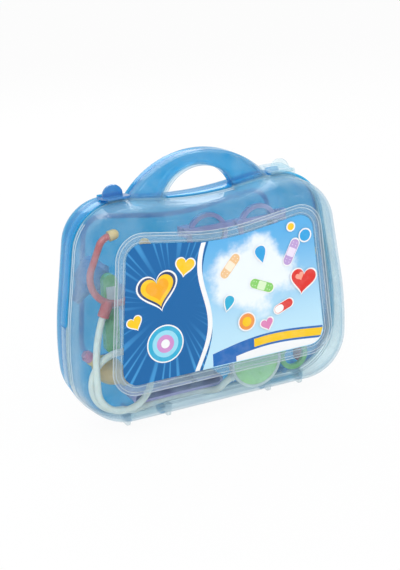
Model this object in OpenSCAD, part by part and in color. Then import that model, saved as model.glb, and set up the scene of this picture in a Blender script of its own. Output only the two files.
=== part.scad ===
/* [Case shells] */
// Depth of each shell from the seam to its flat face
shell_depth = 43.5; // [43:0.5:50]
// Wall thickness of both shells
wall = 2; // [1.6:0.1:2.4]
// Gap between the two rims where the shells meet
rim_gap = 0.3; // [0.2:0.05:0.6]
// Slope of the side walls, in degrees
draft = 4; // [2:0.5:5]
// Edge rounding measured across the face
round_side = 17; // [12:0.5:18]
// Edge rounding measured along the depth
round_deep = 24; // [16:0.5:26]
// Half of the width of the walls at their widest
case_half = 132.6; // [131:0.1:140]
// Height of the shoulders above the ground
case_top = 203; // [202:0.5:212]
// How far the lip bands stand out from the walls
lip_out = 1.7; // [1.2:0.1:2]
// Gap between a lip band and the wall that it covers
lip_gap = 0.3; // [0.2:0.05:0.5]
// How far a lip band reaches over the other shell
lip_reach = 5; // [3:0.5:5]

/* [Carrying handle] */
// Height of the handle above the shoulders
grip_rise = 33; // [30:0.5:40]
// Radius of the handle's outer curve
grip_radius = 84; // [80:1:90]
// Radius of the hand hole
hole_radius = 36; // [32:0.5:38]
// Height of the handle's bar at its middle
grip_bar = 14; // [12:0.5:18]
// Depth of each half of the handle from the seam
grip_half = 10.5; // [9:0.5:13]
// Rounding of the handle's edges
grip_round = 4.5; // [3:0.5:5]
// Wall thickness of the handle's channel
grip_wall = 1.8; // [1.4:0.1:2.2]

/* [Hinge] */
// Diameter of the two hinge bars
bar_d = 4.6; // [4:0.1:5]
// Difference between the hook bores and the bars
bar_play = 0.1; // [0.06:0.02:0.18]
// Outer radius of the hinge eyes, which is the height of the axis
eye_radius = 5; // [4.5:0.1:6]
// Thickness of each hinge plate
plate = 3; // [2.4:0.1:3.4]
// Side gap between a hinge plate and its neighbour
plate_gap = 0.3; // [0.2:0.05:0.5]
// Middle of the left hinge, in from the widest line of the left wall
hinge_left = 69.8; // [66.6:0.1:72.6]
// Middle of the right hinge, in from the widest line of the right wall
hinge_right = 56.45; // [54.6:0.05:60.6]
// Height of the gap through which a hook snaps on its bar
hook_mouth = 3.4; // [3:0.1:3.8]

/* [Snap latches] */
// Middle of each latch, in from the widest line of its wall
latch_x = 53.1; // [50.6:0.5:55.6]
// Width of a latch
latch_wide = 24; // [20:0.5:26]
// Thickness of a latch's strap
strap = 1.6; // [1.4:0.1:2]
// Radius of the round knuckle at a latch's root
knuckle = 1.2; // [1.1:0.05:1.4]
// Gap between a knuckle and its socket
knuckle_play = 0.08; // [0.04:0.01:0.1]
// Height of the knuckle's axis above the shoulders
latch_rise = 3; // [2.8:0.1:3.6]
// Width of a catch
catch_wide = 12; // [9:0.5:14]
// Gap between a catch and the strap eased over it
catch_gap = 0.35; // [0.3:0.05:0.5]
// Height of a latch's finger lobe
lobe_high = 10.5; // [8:0.5:12]

/* [Front label] */
// Thickness of the printed card
card = 0.35; // [0.2:0.05:0.6]
// Width of the bead round the card
bead_wide = 4.5; // [3:0.1:5]
// Height of the bead above the face
bead_high = 1.2; // [0.6:0.1:1.6]

/* [Play tools] */
// Diameter of the listening tube
tube_d = 6; // [5:0.5:6.5]
// Diameter of the listening disc
disc_d = 50; // [42:1:52]
// Width of the arm cuff's band
cuff_wide = 37; // [30:1:38]
// Thickness of the arm cuff's plastic
cuff_wall = 2.4; // [1.8:0.1:2.8]
// Diameter of the gauge
gauge_d = 32; // [28:1:34]
// Bore of the syringe's barrel
syringe_bore = 18.6; // [17:0.2:19]
// Difference between the plunger's seal and the bore
seal_play = 0.3; // [0.2:0.05:0.5]
// Pin diameter of the scissors
pin_d = 5; // [4:0.1:6]
// Difference between a hole and the pin in it
pin_play = 0.14; // [0.1:0.02:0.18]
// Outer radius of the scissors' finger rings
ring_r = 14.5; // [13:0.5:15]
// Outer radius of a spectacle rim
rim_r = 20; // [18:0.5:20.5]
// Wall thickness of the kidney dish
dish_wall = 1.8; // [1.4:0.1:2.4]

/* [Hidden] */
$fn = 64;

axis_z = eye_radius;
case_foot = 2 * eye_radius + 1;
half_gap = rim_gap / 2;
side_end = shell_depth - round_deep;
lean = tan(draft) * side_end;
latch_z = case_top + latch_rise;
rear_pivot_y = 3.6;
front_pivot_y = -lip_reach - 4;
rear_ease = 6;
front_ease = 4;
inner_face = shell_depth - wall;
hinge_left_x = hinge_left - case_half;
hinge_right_x = case_half - hinge_right;
kit_left = 35.6 - case_half;
dish_high = 18.7;
grip_foot = sqrt(pow(grip_radius, 2) - pow(grip_radius - grip_rise - 3, 2));

front_blue = [0.12, 0.42, 0.8, 0.6];
clear = [0.9, 0.93, 0.96, 0.45];
lilac = [0.62, 0.5, 0.85];
orange = [0.95, 0.42, 0.16];
green = [0.3, 0.72, 0.25];
yellow = [0.97, 0.8, 0.2];
white = [0.95, 0.95, 0.93];
tan_soft = [0.9, 0.75, 0.5];

function unit(v) = v / norm(v);

// A rounded corner of an outline: points, each with its outward direction
function corner(a, p, b, r, n) =
  let (u = unit(p - a), v = unit(b - p), turn = atan2(u.x * v.y - u.y * v.x, u * v),
    s = sign(turn), start = p - u * r * tan(abs(turn) / 2), c = start + s * r * [-u.y, u.x],
    a0 = atan2(start.y - c.y, start.x - c.x))
  [for (i = [0 : n]) let (g = a0 + turn * i / n, d = [cos(g), sin(g)]) [c + r * d, s * d]];

function flat(c) = [c.x, c.y];

function loop(c, n) = let (m = len(c)) [for (i = [0 : m - 1])
  each corner(flat(c[(i + m - 1) % m]), flat(c[i]), flat(c[(i + 1) % m]), c[i].z, n[i])];

function ring(pts, out, y) =
  [for (q = pts) [q[0].x + q[1].x * out, y, q[0].y + q[1].y * out]];

function quads(a, b, n) = [for (i = [0 : n - 1]) let (j = (i + 1) % n)
  [a * n + i, b * n + i, b * n + j, a * n + j]];

outline = loop(
  [[2.8 - case_half, case_foot, 46], [case_half - 2.8, case_foot, 46], [case_half, 85, 300],
    [case_half - 18, case_top, 43], [case_half - 66.6, case_top, 90], [0, case_top - 9, 300],
    [66.6 - case_half, case_top, 90], [18 - case_half, case_top, 43], [-case_half, 85, 300]],
  [8, 8, 3, 8, 2, 6, 2, 8, 3]);

card_outline = loop(
  [[33.3 - case_half, 52.3, 14], [case_half - 33.3, 52.3, 14],
    [case_half - 45.7, case_top - 26.4, 14], [0, case_top - 39.2, 200],
    [45.7 - case_half, case_top - 26.4, 14]],
  [5, 5, 5, 6, 5]);

// Distance in from the outline and depth, from the rim to the flat face
outer_profile = concat([[0, half_gap]],
  [for (i = [0 : 6]) [lean + round_side * (1 - cos(15 * i)), side_end + round_deep * sin(15 * i)]]);
inner_profile = concat(
  [for (i = [6 : -1 : 0]) let (g = 15 * i, m = unit([cos(g) / round_side, sin(g) / round_deep]))
    [lean + round_side * (1 - cos(g)) + wall * m.x, side_end + round_deep * sin(g) - wall * m.y]],
  [[wall, half_gap]]);

// One hollow shell half, open at the seam
module cup() {
  n = len(outline);
  rows = concat(outer_profile, inner_profile);
  a = len(outer_profile) - 1;
  last = len(rows) - 1;
  polyhedron(
    points = [for (p = rows) each ring(outline, -p.x, -p.y)],
    faces = concat(
      [for (k = [0 : a - 1]) each quads(k, k + 1, n)],
      [for (k = [a + 1 : last - 1]) each quads(k, k + 1, n)],
      quads(last, 0, n),
      [[for (i = [n - 1 : -1 : 0]) a * n + i], [for (i = [0 : n - 1]) (a + 1) * n + i]]));
}

// A band of constant section all round an outline
module band(pts, section) {
  n = len(pts);
  m = len(section);
  polyhedron(
    points = [for (p = section) each ring(pts, p.x, p.y)],
    faces = [for (k = [0 : m - 1]) each quads(k, (k + 1) % m, n)]);
}

module lip() {
  difference() {
    band(outline, [[-0.8, 7], [lip_out, 7], [lip_out, -lip_reach], [lip_gap, -lip_reach],
      [lip_gap, 1], [-0.8, 1]]);
    for (s = [0, 1]) mirror([s, 0, 0]) translate([hole_radius - 5, -20, case_top - 16])
      cube([grip_foot - hole_radius + 5.1, 20, 30]);
  }
}

// Bead that frames the card, also moulded on the plain rear face
module bead() {
  w = bead_wide / 2;
  band([for (q = card_outline) [q[0] + q[1] * (w + 1.75), q[1]]],
    [[-w, 0.6 - shell_depth], [w, 0.6 - shell_depth], [w, -shell_depth - 0.3 * bead_high],
      [0.6 * w, -shell_depth - bead_high], [-0.6 * w, -shell_depth - bead_high],
      [-w, -shell_depth - 0.3 * bead_high]]);
}

// Section of one handle half for a given distance between its two curves
function channel(len_s, r, w) =
  [for (p = [[0, r]]) each concat([[w, -half_gap]],
    [for (g = [0 : 30 : 90]) [w + r - r * cos(g), r + w - grip_half - r * sin(g)]],
    [for (g = [0 : 30 : 90]) [len_s - w - r + r * sin(g), r + w - grip_half - r * cos(g)]],
    [[len_s - w, -half_gap]])];

function reverse(v) = [for (i = [len(v) - 1 : -1 : 0]) v[i]];

module grip() {
  top = case_top + grip_rise;
  hole_top = top - grip_bar;
  count = 22;
  low = 3;
  a_end = acos((case_top - low - top + grip_radius) / grip_radius);
  b_end = acos((case_top - 9.5 - hole_top + hole_radius) / hole_radius);
  rows = [for (k = [0 : count])
    let (t = 2 * k / count - 1, a = a_end * t, b = b_end * t,
      o = [grip_radius * sin(a), top - grip_radius + grip_radius * cos(a)],
      i = [hole_radius * sin(b), hole_top - hole_radius + hole_radius * cos(b)],
      e = unit(o - i), span = norm(o - i),
      sec = concat(channel(span, grip_round, 0),
        reverse(channel(span, grip_round - grip_wall, grip_wall))))
    [for (p = sec) [i.x + e.x * p.x, p.y, i.y + e.y * p.x]]];
  m = len(rows[0]);
  polyhedron(
    points = [for (r = rows) each r],
    faces = concat(
      [for (k = [0 : count - 1]) for (j = [0 : m - 1]) let (q = (j + 1) % m)
        [k * m + j, k * m + q, (k + 1) * m + q, (k + 1) * m + j]],
      [[for (j = [m - 1 : -1 : 0]) j], [for (j = [0 : m - 1]) count * m + j]]));
}

// Extrudes a side view (depth, height) along the width
module across(x, w) {
  translate([x, 0, 0]) rotate([90, 0, 90]) linear_extrude(w, center = true) children();
}

// Turns a flat drawing (width, height) to face the front, its thickness forward
module facing(y) {
  translate([0, y, 0]) rotate([90, 0, 0]) children();
}

// Side view of a hinge plate with its eye; side is -1 for the front shell and 1 for the rear one
module plate_view(side, top) {
  translate([0, axis_z]) circle(eye_radius);
  polygon([for (p = [[13, top], [10.3, 3.4], [9.6, 1.4], [8.2, 0.3], [6.8, 0], [0, 0],
    [0, 2 * axis_z], [half_gap, top]]) [side * p.x, p.y]]);
}

module eye_plate(x, side, top) {
  across(x, plate) plate_view(side, top);
}

module hook_plate(x, side, top) {
  across(x, plate) difference() {
    plate_view(side, top);
    translate([0, axis_z]) circle((bar_d + bar_play) / 2);
    translate([side > 0 ? -2 * eye_radius : 0, axis_z - hook_mouth / 2])
      square([2 * eye_radius, hook_mouth]);
  }
}

module hinge_bar(x0, x1) {
  translate([x0, 0, axis_z]) rotate([0, 90, 0]) cylinder(d = bar_d, h = x1 - x0);
}

left_out = [hinge_left_x - 19.7, hinge_left_x + 19.7];
left_in = [left_out[0] + plate + plate_gap, left_out[1] - plate - plate_gap];
right_out = [hinge_right_x - 20.15, hinge_right_x + 20.15];
right_in = [right_out[0] + plate + plate_gap, right_out[1] - plate - plate_gap];
near_top = case_foot + 2;
far_top = case_foot + 4;

// Socket that holds a latch's knuckle, drawn round the knuckle's axis
module socket() {
  r = knuckle + knuckle_play;
  across(0, latch_wide - 2) difference() {
    polygon([[-2, -latch_rise - 3], [r + 2.1, -latch_rise - 3], [r + 2.1, 1.2], [r + 1.1, r + 0.9],
      [0.14, r + 0.9], [0.14, 0], [-1.1, -0.68], [-2, -0.72]]);
    circle(r);
  }
}

// A catch: far is its face towards the latch's free end
module catch_block(near, far, high) {
  across(0, catch_wide)
    polygon([[-near, -latch_rise - 2.5], [-near, high - 0.8], [-near - 1, high], [-far, high],
      [-far, -latch_rise - 2.5]]);
}

// Height of the strap's underside over the far side of a catch while eased, less the gap
function catch_high(far, ease) = far * tan(ease) - strap / 2 - catch_gap;

module latch(reach, near, far) {
  w = latch_wide;
  rotate([0, 90, 0]) cylinder(r = knuckle, h = w - 2, center = true);
  translate([1 - w / 2, -4, -0.6]) cube([w - 2, 4, 1.2]);
  translate([0, 0, -strap / 2]) linear_extrude(strap) difference() {
    union() {
      translate([-w / 2, 5 - reach]) square([w, reach - 8]);
      translate([5 - w / 2, -reach]) square([w - 10, reach - 3]);
      translate([5 - w / 2, 5 - reach]) circle(5);
      translate([w / 2 - 5, 5 - reach]) circle(5);
    }
    translate([-catch_wide / 2 - 0.8, -far - 0.5]) square([catch_wide + 1.6, far - near + 1]);
  }
  translate([0, -4.6, 0]) rotate([14, 0, 0]) translate([0, 1, 0]) rotate([90, 0, 0])
    linear_extrude(2) intersection() {
      translate([0, lobe_high - 9]) circle(9);
      translate([-9, 0]) square([18, lobe_high + 1]);
    }
}

rear_catch = [rear_pivot_y + lip_reach + 0.6, rear_pivot_y + lip_reach + 4.2];
front_catch = [8.4 - front_pivot_y, 12.4 - front_pivot_y];

module at_rear_pivot() {
  translate([latch_x - case_half, rear_pivot_y, latch_z]) children();
}

module at_front_pivot() {
  translate([case_half - latch_x, front_pivot_y, latch_z]) rotate([0, 0, 180]) children();
}

// Moulded rests on the rear wall, each with width, height, depth at the wall and depth of its end
module rests() {
  back = inner_face + 0.5;
  front = cut_y - 7.2;
  posts = [[scope_c.x + 40.2, scope_c.z - 46.3, back, 14],
    [scope_c.x + 14.7, scope_c.z - 27.1, back, 14],
    [scope_c.x + 59, scope_c.z - 44.4, back, 14],
    [spec_c.x - spec_half, spec_c.y - rim_r - 2.8, back, 20],
    [spec_c.x + spec_half, spec_c.y - rim_r - 2.8, back, 20],
    [-22, syr_z - syr_d / 2 - 2.8, back, 20],
    [cut_c.x - 8.7, cut_c.y - 16, back, front],
    [cut_c.x + 45.6 - 0.6 * ring_r, cut_c.y - 24.6 - 0.8 * ring_r, back - 6, front]];
  for (r = posts) translate([r[0], r[2], r[1]]) rotate([90, 0, 0])
    cylinder(d = 5, h = r[2] - r[3]);
  translate([cut_c.x - 11, front, cut_c.y - 16]) cube([4.6, 3.5, 10.9]);
}

module rear_shell() {
  color(front_blue) {
    mirror([0, 1, 0]) cup();
    mirror([0, 1, 0]) grip();
    mirror([0, 1, 0]) bead();
    rests();
    intersection() {
      lip();
      union() {
        translate([-200, -20, 101.4]) cube([200, 40, 200]);
        translate([0, -20, 39]) cube([200, 40, 200]);
      }
    }
    for (x = left_in) hook_plate(x, 1, near_top);
    eye_plate(right_out[0], 1, near_top);
    eye_plate(right_out[1], 1, far_top);
    hinge_bar(right_out[0], right_out[1]);
    at_rear_pivot() socket();
    at_front_pivot() catch_block(front_catch[0], front_catch[1],
      catch_high(front_catch[1], front_ease));
  }
}

module front_shell() {
  color(clear) {
    cup();
    grip();
    intersection() {
      mirror([0, 1, 0]) lip();
      translate([-200, -20, 48]) cube([200, 40, 52.6]);
    }
    bead();
    for (x = left_out) eye_plate(x, -1, near_top);
    hinge_bar(left_out[0], left_out[1]);
    hook_plate(right_in[0], -1, near_top);
    hook_plate(right_in[1], -1, far_top);
    at_front_pivot() socket();
    at_rear_pivot() catch_block(rear_catch[0], rear_catch[1],
      catch_high(rear_catch[1], rear_ease));
  }
}

module label_card() {
  color(white) facing(-shell_depth)
    linear_extrude(card) polygon([for (q = card_outline) q[0]]);
}

module rear_latch() {
  color(front_blue) at_rear_pivot() rotate([-rear_ease, 0, 0])
    latch(rear_catch[1] + 6.8, rear_catch[0], rear_catch[1]);
}

module front_latch() {
  color(clear) at_front_pivot() rotate([-front_ease, 0, 0])
    latch(front_catch[1] + 3.6, front_catch[0], front_catch[1]);
}

// Round bar bent along an arc in the front view
module bend(c, rad, a0, a1, d) {
  translate([c.x, c.y, 0]) rotate([0, 0, a0])
    rotate_extrude(angle = a1 - a0) translate([rad, 0]) circle(d = d);
}

module rod(a, b, d) {
  u = b - a;
  translate([a.x, a.y, 0]) rotate([0, 0, atan2(u.y, u.x)]) rotate([0, 90, 0])
    cylinder(d = d, h = norm(u));
}

// The headset's own drawing: yoke at the origin, arms upwards
module at_headset() {
  translate([kit_left, -18, case_foot + 110]) rotate([90, 0, 0]) rotate([0, 0, -24]) children();
}

arm_in = 55;
tip_gap = 0.2;
arm_tip = [24 - 12 + 12 * cos(arm_in), 44 + 12 * sin(arm_in)];

module headset() {
  color(orange) at_headset() {
    bend([0, 24], 24, -90, 0, 6);
    bend([0, 24], 24, 180, 270, 6);
    rod([24, 23.5], [24, 44.5], 5.9);
    rod([-24, 23.5], [-24, 44.5], 5.9);
    bend([12, 44], 12, 0, arm_in, 6);
    bend([-12, 44], 12, 180 - arm_in, 180, 6);
    rod([0, 2], [0, -13], 10);
  }
}

module ear_tip(side) {
  translate([side * arm_tip.x, arm_tip.y, 0]) rotate([0, 0, side * arm_in])
    translate([0, tip_gap, 0]) rotate([-90, 0, 0]) {
      cylinder(d = 9, h = 4.7);
      translate([0, 0, 4.7]) sphere(d = 9);
    }
}

module ear_tip_left() {
  color(yellow) at_headset() ear_tip(-1);
}

module ear_tip_right() {
  color(yellow) at_headset() ear_tip(1);
}

// Smooth route through given points
function spline(p, n) = [for (i = [0 : len(p) - 2]) for (k = [0 : n - 1])
  let (t = k / n, a = p[max(i - 1, 0)], b = p[i], c = p[i + 1], d = p[min(i + 2, len(p) - 1)])
  0.5 * (2 * b + t * (c - a) + t * t * (2 * a - 5 * b + 4 * c - d)
    + t * t * t * (3 * b - a - 3 * c + d))];

tube_start = [kit_left - 13.15 * sin(24), -18, case_foot + 110 - 13.15 * cos(24)];
tube_drop = [tube_start, tube_start + 3 * [-sin(24), 0, -cos(24)],
  [kit_left - 9.9, -19.5, case_foot + 87.4], [kit_left - 14.5, -23, case_foot + 75],
  [kit_left - 18, -27, case_foot + 59]];
tube_turns = [for (k = [0 : 30]) let (s = k / 30, g = 180 + 450 * s, r = 25 + 3 * s)
  [kit_left + 6 + r * cos(g), -29 + 10 * s, case_foot + 39 + r * sin(g)]];
tube_floor = case_foot + 6.6;
tube_run = [[kit_left + 17, -17, tube_floor + 0.7], [kit_left + 31, -12, tube_floor],
  [-40, -8, tube_floor], [-14, -10, tube_floor + 0.2], [-3, -15.5, tube_floor + 0.6],
  [2, -21.5, tube_floor + 3.8], [6, -24.3, tube_floor + 8.8],
  [36 - 0.883 * (disc_d / 2 + 2.55), -24.5, case_foot + 31.5 - 0.469 * (disc_d / 2 + 2.55)]];
tube_path = concat(spline(concat(tube_drop, [tube_turns[0]]), 3), tube_turns,
  spline(concat([tube_turns[30]], tube_run), 3), [tube_run[len(tube_run) - 1]]);

function tangents(p) = [for (i = [0 : len(p) - 1])
  unit(p[min(i + 1, len(p) - 1)] - p[max(i - 1, 0)])];

// Round hose along a route
module hose(route, d, sides) {
  p = [for (i = [0 : len(route) - 1]) if (i == 0 || norm(route[i] - route[i - 1]) > 0.01) route[i]];
  t = tangents(p);
  count = len(p) - 1;
  polyhedron(
    points = [for (i = [0 : count]) let (u = unit(cross(t[i], [0, 1, 0])), v = cross(t[i], u))
      for (j = [0 : sides - 1]) let (g = 360 * j / sides)
        p[i] + d / 2 * (u * cos(g) + v * sin(g))],
    faces = concat(
      [for (k = [0 : count - 1]) for (j = [0 : sides - 1]) let (q = (j + 1) % sides)
        [k * sides + j, (k + 1) * sides + j, (k + 1) * sides + q, k * sides + q]],
      [[for (j = [0 : sides - 1]) j], [for (j = [sides - 1 : -1 : 0]) count * sides + j]]));
}

module listening_tube() {
  color(white) hose(tube_path, tube_d, 8);
}

disc_c = [36, -18, case_foot + 31.5];
nozzle_end = disc_d / 2 + 2.5;

module at_disc(y) {
  translate([disc_c.x, y, disc_c.z]) rotate([90, 0, 0]) children();
}

module chest_disc() {
  color(white) {
    difference() {
      union() {
        at_disc(-14.5) rotate_extrude() polygon([[0, 0], [10, 0], [8, 5.5], [disc_d / 2 - 4, 5.5],
          [disc_d / 2, 9.5], [disc_d / 2, 15.5], [0, 15.5]]);
        at_disc(-24.5) rod([-0.883 * 23.4, -0.469 * 23.4],
          [-0.883 * nozzle_end, -0.469 * nozzle_end], 8);
      }
      at_disc(-28.8) cylinder(d = disc_d - 5, h = 3);
    }
  }
}

module chest_membrane() {
  color(orange) at_disc(-28.8) cylinder(d = disc_d - 5.4, h = 1);
}

cuff_x = [kit_left + 18, 9];
cuff_z = [case_foot + 10.6, case_foot + 20.6];
cuff_y = inner_face - 0.6 - dish_high - 0.2 - cuff_wide;

module racetrack(grow) {
  r = (cuff_z[1] - cuff_z[0]) / 2 + grow;
  zc = (cuff_z[0] + cuff_z[1]) / 2;
  a = cuff_x[0] + r - grow;
  b = cuff_x[1] - r + grow;
  translate([a, zc - r]) square([b - a, 2 * r]);
  translate([a, zc]) circle(r);
  translate([b, zc]) circle(r);
}

module arm_cuff() {
  color(lilac) difference() {
    facing(cuff_y + cuff_wide) linear_extrude(cuff_wide) difference() {
      racetrack(0);
      racetrack(-cuff_wall);
      translate([-22, cuff_z[1] - 1 - cuff_wall]) square([6, 10]);
    }
  }
}

gauge_c = [kit_left + 51, cuff_z[1] + gauge_d / 2 + 2.6];
gauge_y = cuff_y + 11;

module gauge_case() {
  color(white) {
    facing(gauge_y) translate([gauge_c.x, gauge_c.y, 0]) difference() {
      cylinder(d = gauge_d, h = 9);
      translate([0, 0, 7.2]) cylinder(d = gauge_d - 5, h = 3);
      translate([0, 0, 4]) cylinder(d = 2.4, h = 6);
    }
    translate([gauge_c.x, gauge_y - 4.5, cuff_z[1]]) cylinder(d = 7, h = 3.6);
    facing(gauge_y - 4.5) translate([gauge_c.x, gauge_c.y, 0])
      rod([3 - gauge_d / 2, 0], [-gauge_d / 2 - 5, 0], 6);
  }
}

module gauge_face() {
  color(yellow) facing(gauge_y - 7.2) translate([gauge_c.x, gauge_c.y, 0]) difference() {
    cylinder(d = gauge_d - 5.4, h = 0.5);
    translate([0, 0, -1]) cylinder(d = 2.6, h = 3);
  }
}

module gauge_needle() {
  color(orange) facing(gauge_y - 8.1) translate([gauge_c.x, gauge_c.y, 0]) {
    cylinder(d = 5, h = 1.4);
    translate([0, 0, -3.6]) cylinder(d = 2.3, h = 4);
    linear_extrude(0.8) polygon([[-1.6, 0], [1.6, 0], [0.5, 10.5], [-0.5, 10.5]]);
  }
}

bulb_c = [kit_left + 2, -2, case_foot + 43];
bulb_tilt = -42;
stem_d = 4;
stem_play = 0.12;

module at_bulb() {
  translate(bulb_c) rotate([90, 0, 0]) rotate([0, 0, bulb_tilt]) rotate([0, 90, 0]) children();
}

module pump_bulb() {
  color(tan_soft) at_bulb() rotate_extrude() difference() {
    union() {
      intersection() {
        translate([-9, 0]) circle(21);
        translate([0, -19]) square([14, 38]);
      }
      translate([0, 15]) square([5, 7]);
      translate([0, -21]) square([5.5, 6]);
    }
    translate([-30, -30]) square([30, 60]);
    translate([0, -30]) square([stem_d / 2 + stem_play / 2, 14]);
  }
}

module pump_valve() {
  color(orange) at_bulb() translate([0, 0, -26.4]) difference() {
    union() {
      cylinder(d = 10, h = 5.2);
      cylinder(d = stem_d, h = 9);
      translate([0, 0, -2.4]) cylinder(d = 6, h = 3);
    }
    for (a = [0 : 60 : 300]) rotate([0, 0, a]) translate([5.8, 0, -3]) cylinder(d = 2.4, h = 10);
  }
}

bulb_dir = [cos(bulb_tilt), 0, sin(bulb_tilt)];
gauge_end = [gauge_c.x - gauge_d / 2 - 5.05, gauge_y - 4.5, gauge_c.y];
gauge_near = gauge_end - [1.2, 0, 0];
cuff_tube_path = concat(spline([bulb_c + 22.3 * bulb_dir, bulb_c + 25.5 * bulb_dir,
  [kit_left + 23.6, -4, case_foot + 26.4], [kit_left + 24.1, -6.8, case_foot + 31.4],
  [kit_left + 25.4, -8.3, case_foot + 36.6], gauge_near], 4), [gauge_near, gauge_end]);

module cuff_tube() {
  color(white) hose(cuff_tube_path, 4.6, 8);
}

syr_y = 25.5;
syr_z = case_foot + 101.3;
syr_d = syringe_bore + 3.2;

module along_x(x) {
  translate([x, syr_y, syr_z]) rotate([0, 90, 0]) children();
}

module syringe_barrel() {
  color(yellow) difference() {
    union() {
      along_x(-32) cylinder(d = syr_d, h = 80);
      along_x(46) cylinder(d = 29, h = 2.4);
      along_x(-43) cylinder(d1 = 5, d2 = 7, h = 12);
      along_x(-35) cylinder(d1 = 12, d2 = syr_d, h = 3.2);
    }
    along_x(-29.6) cylinder(d = syringe_bore, h = 90);
    along_x(-44) cylinder(d = 2.6, h = 20);
  }
}

module syringe_plunger() {
  color(orange) {
    along_x(-22) cylinder(d = 10, h = 84);
    along_x(-22) cylinder(d = syringe_bore - 1.6, h = 2);
    along_x(60) cylinder(d = 26, h = 3);
    along_x(-28) cylinder(d = 7, h = 7);
  }
}

module syringe_seal() {
  color(white) difference() {
    along_x(-28.8) cylinder(d = syringe_bore - seal_play, h = 6.8);
    along_x(-28) cylinder(d = 7, h = 7);
  }
}

thermo_c = [kit_left + 4.5, 0, case_foot + 57];

module at_thermometer() {
  translate(thermo_c) rotate([0, 1.5, 0]) children();
}

module thermometer() {
  color(green) at_thermometer() difference() {
    union() {
      translate([0, -4, 40]) rotate([90, 0, 0]) linear_extrude(7) union() {
        translate([-6.5, -30]) square([13, 58]);
        translate([0, 28]) circle(6.5);
        translate([0, -30]) circle(6.5);
      }
      translate([0, -7.5, 0]) cylinder(d = 5, h = 8);
      translate([0, -7.5, 0]) sphere(d = 5);
    }
    translate([-4, -12, 44]) cube([8, 2.2, 20]);
  }
}

module thermometer_window() {
  color(white) at_thermometer() translate([-3.8, -10.8, 44.2]) cube([7.6, 1, 19.6]);
}

scope_c = [kit_left - 1, 22, case_foot + 120];

module at_scope() {
  translate(scope_c) rotate([90, 0, 0]) children();
}

module scope_body() {
  color([0.15, 0.4, 0.85]) at_scope() {
    rotate([0, 0, -37]) rotate([0, 90, 0]) {
      translate([0, 0, 12]) cylinder(d1 = 14, d2 = 20, h = 12);
      translate([0, 0, 24]) cylinder(d = 20, h = 44);
      translate([0, 0, 68]) cylinder(d1 = 20, d2 = 16, h = 3);
    }
    rotate([0, 0, -127]) rotate([0, 90, 0]) translate([0, 0, -14]) cylinder(d = 26, h = 18);
    rotate([0, 0, -37]) rotate([0, 90, 0]) translate([0, 0, 2]) cylinder(d = 7.6, h = 12);
    rotate([0, 0, -127]) rotate([0, 90, 0]) translate([0, 0, -18]) cylinder(d1 = 20, d2 = 26, h = 4.01);
  }
}

module scope_cone() {
  color([0.2, 0.5, 0.9]) at_scope() rotate([0, 0, -127]) rotate([0, 90, 0]) translate([0, 0, 4]) {
    cylinder(d = 20, h = 3);
    translate([0, 0, 3]) cylinder(d1 = 17, d2 = 7, h = 16);
  }
}

hammer_c = [case_half - 32.1, 3.3, case_foot + 7.8];

module hammer_handle() {
  color(orange) translate(hammer_c) {
    translate([0, 0, 3]) cylinder(d = 13, h = 42);
    translate([0, 0, 0]) cylinder(d1 = 9, d2 = 13, h = 3);
    translate([0, 0, 45]) cylinder(d1 = 13, d2 = 8, h = 6);
    translate([0, 0, 51]) cylinder(d = 8, h = 56);
    translate([0, 0, 105]) rotate([90, 0, 0]) cylinder(d = 14, h = 14, center = true);
  }
}

module hammer_head() {
  color(yellow) translate(hammer_c) difference() {
    translate([0, 0, 105]) union() {
      rotate([0, 90, 0]) cylinder(d = 18, h = 22, center = true);
      translate([11, 0, 0]) rotate([0, 90, 0]) cylinder(d1 = 18, d2 = 12, h = 5);
      translate([-16, 0, 0]) rotate([0, 90, 0]) cylinder(d1 = 12, d2 = 18, h = 5);
    }
    translate([0, 0, 105]) rotate([90, 0, 0]) cylinder(d = 14.1, h = 30, center = true);
    translate([0, 0, 90]) cylinder(d = 8.1, h = 15);
  }
}

cut_c = [38, case_foot + 43];
cut_tilt = -8;
cut_y = -4.4;
blade_t = 3.4;

module at_scissors(y) {
  facing(y) translate([cut_c.x, cut_c.y, 0]) rotate([0, 0, cut_tilt]) children();
}

// Flat drawing of a scissors half: blade to the left, its finger ring above
module half_scissors() {
  difference() {
    union() {
      polygon([[6, 5.5], [-6, 5.5], [-30, 4.5], [-50, 1.5], [-54, -1], [-52, -3.5], [-10, -5.5],
        [6, -5.5]]);
      circle(8);
      polygon([[-2, -6.5], [6, -6], [40, 4], [40, 10.5], [32, 10.5], [-3, 7]]);
      translate([50, 15.6]) circle(ring_r);
    }
    translate([50, 15.6]) circle(ring_r - 4.5);
  }
}

module scissors_lower() {
  color(green) at_scissors(cut_y - 3.7) linear_extrude(blade_t) difference() {
    mirror([0, 1]) half_scissors();
    circle(d = pin_d + pin_play);
  }
}

module scissors_upper() {
  color(green) at_scissors(cut_y) linear_extrude(blade_t) difference() {
    half_scissors();
    circle(d = pin_d + pin_play);
  }
}

module scissors_pin() {
  color(white) at_scissors(cut_y + 1.3) {
    cylinder(d = pin_d, h = 9.8);
    cylinder(d = 9, h = 1);
    translate([0, 0, 8.7]) cylinder(d = 9, h = 1.3);
  }
}

spec_c = [45, case_foot + 140.1];
spec_y = 26;
temple_long = 46;
hinge_x = temple_long + 3.5;
spec_half = hinge_x - rim_r - 3.5;
bridge = spec_half - rim_r + 2;
temple_fold = 7.2;

module rims(r, h) {
  for (s = [-1, 1]) translate([s * spec_half, 0, 0]) cylinder(r = r, h = h);
}

module at_frame() {
  facing(spec_y) translate([spec_c.x, spec_c.y, 0]) children();
}

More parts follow.
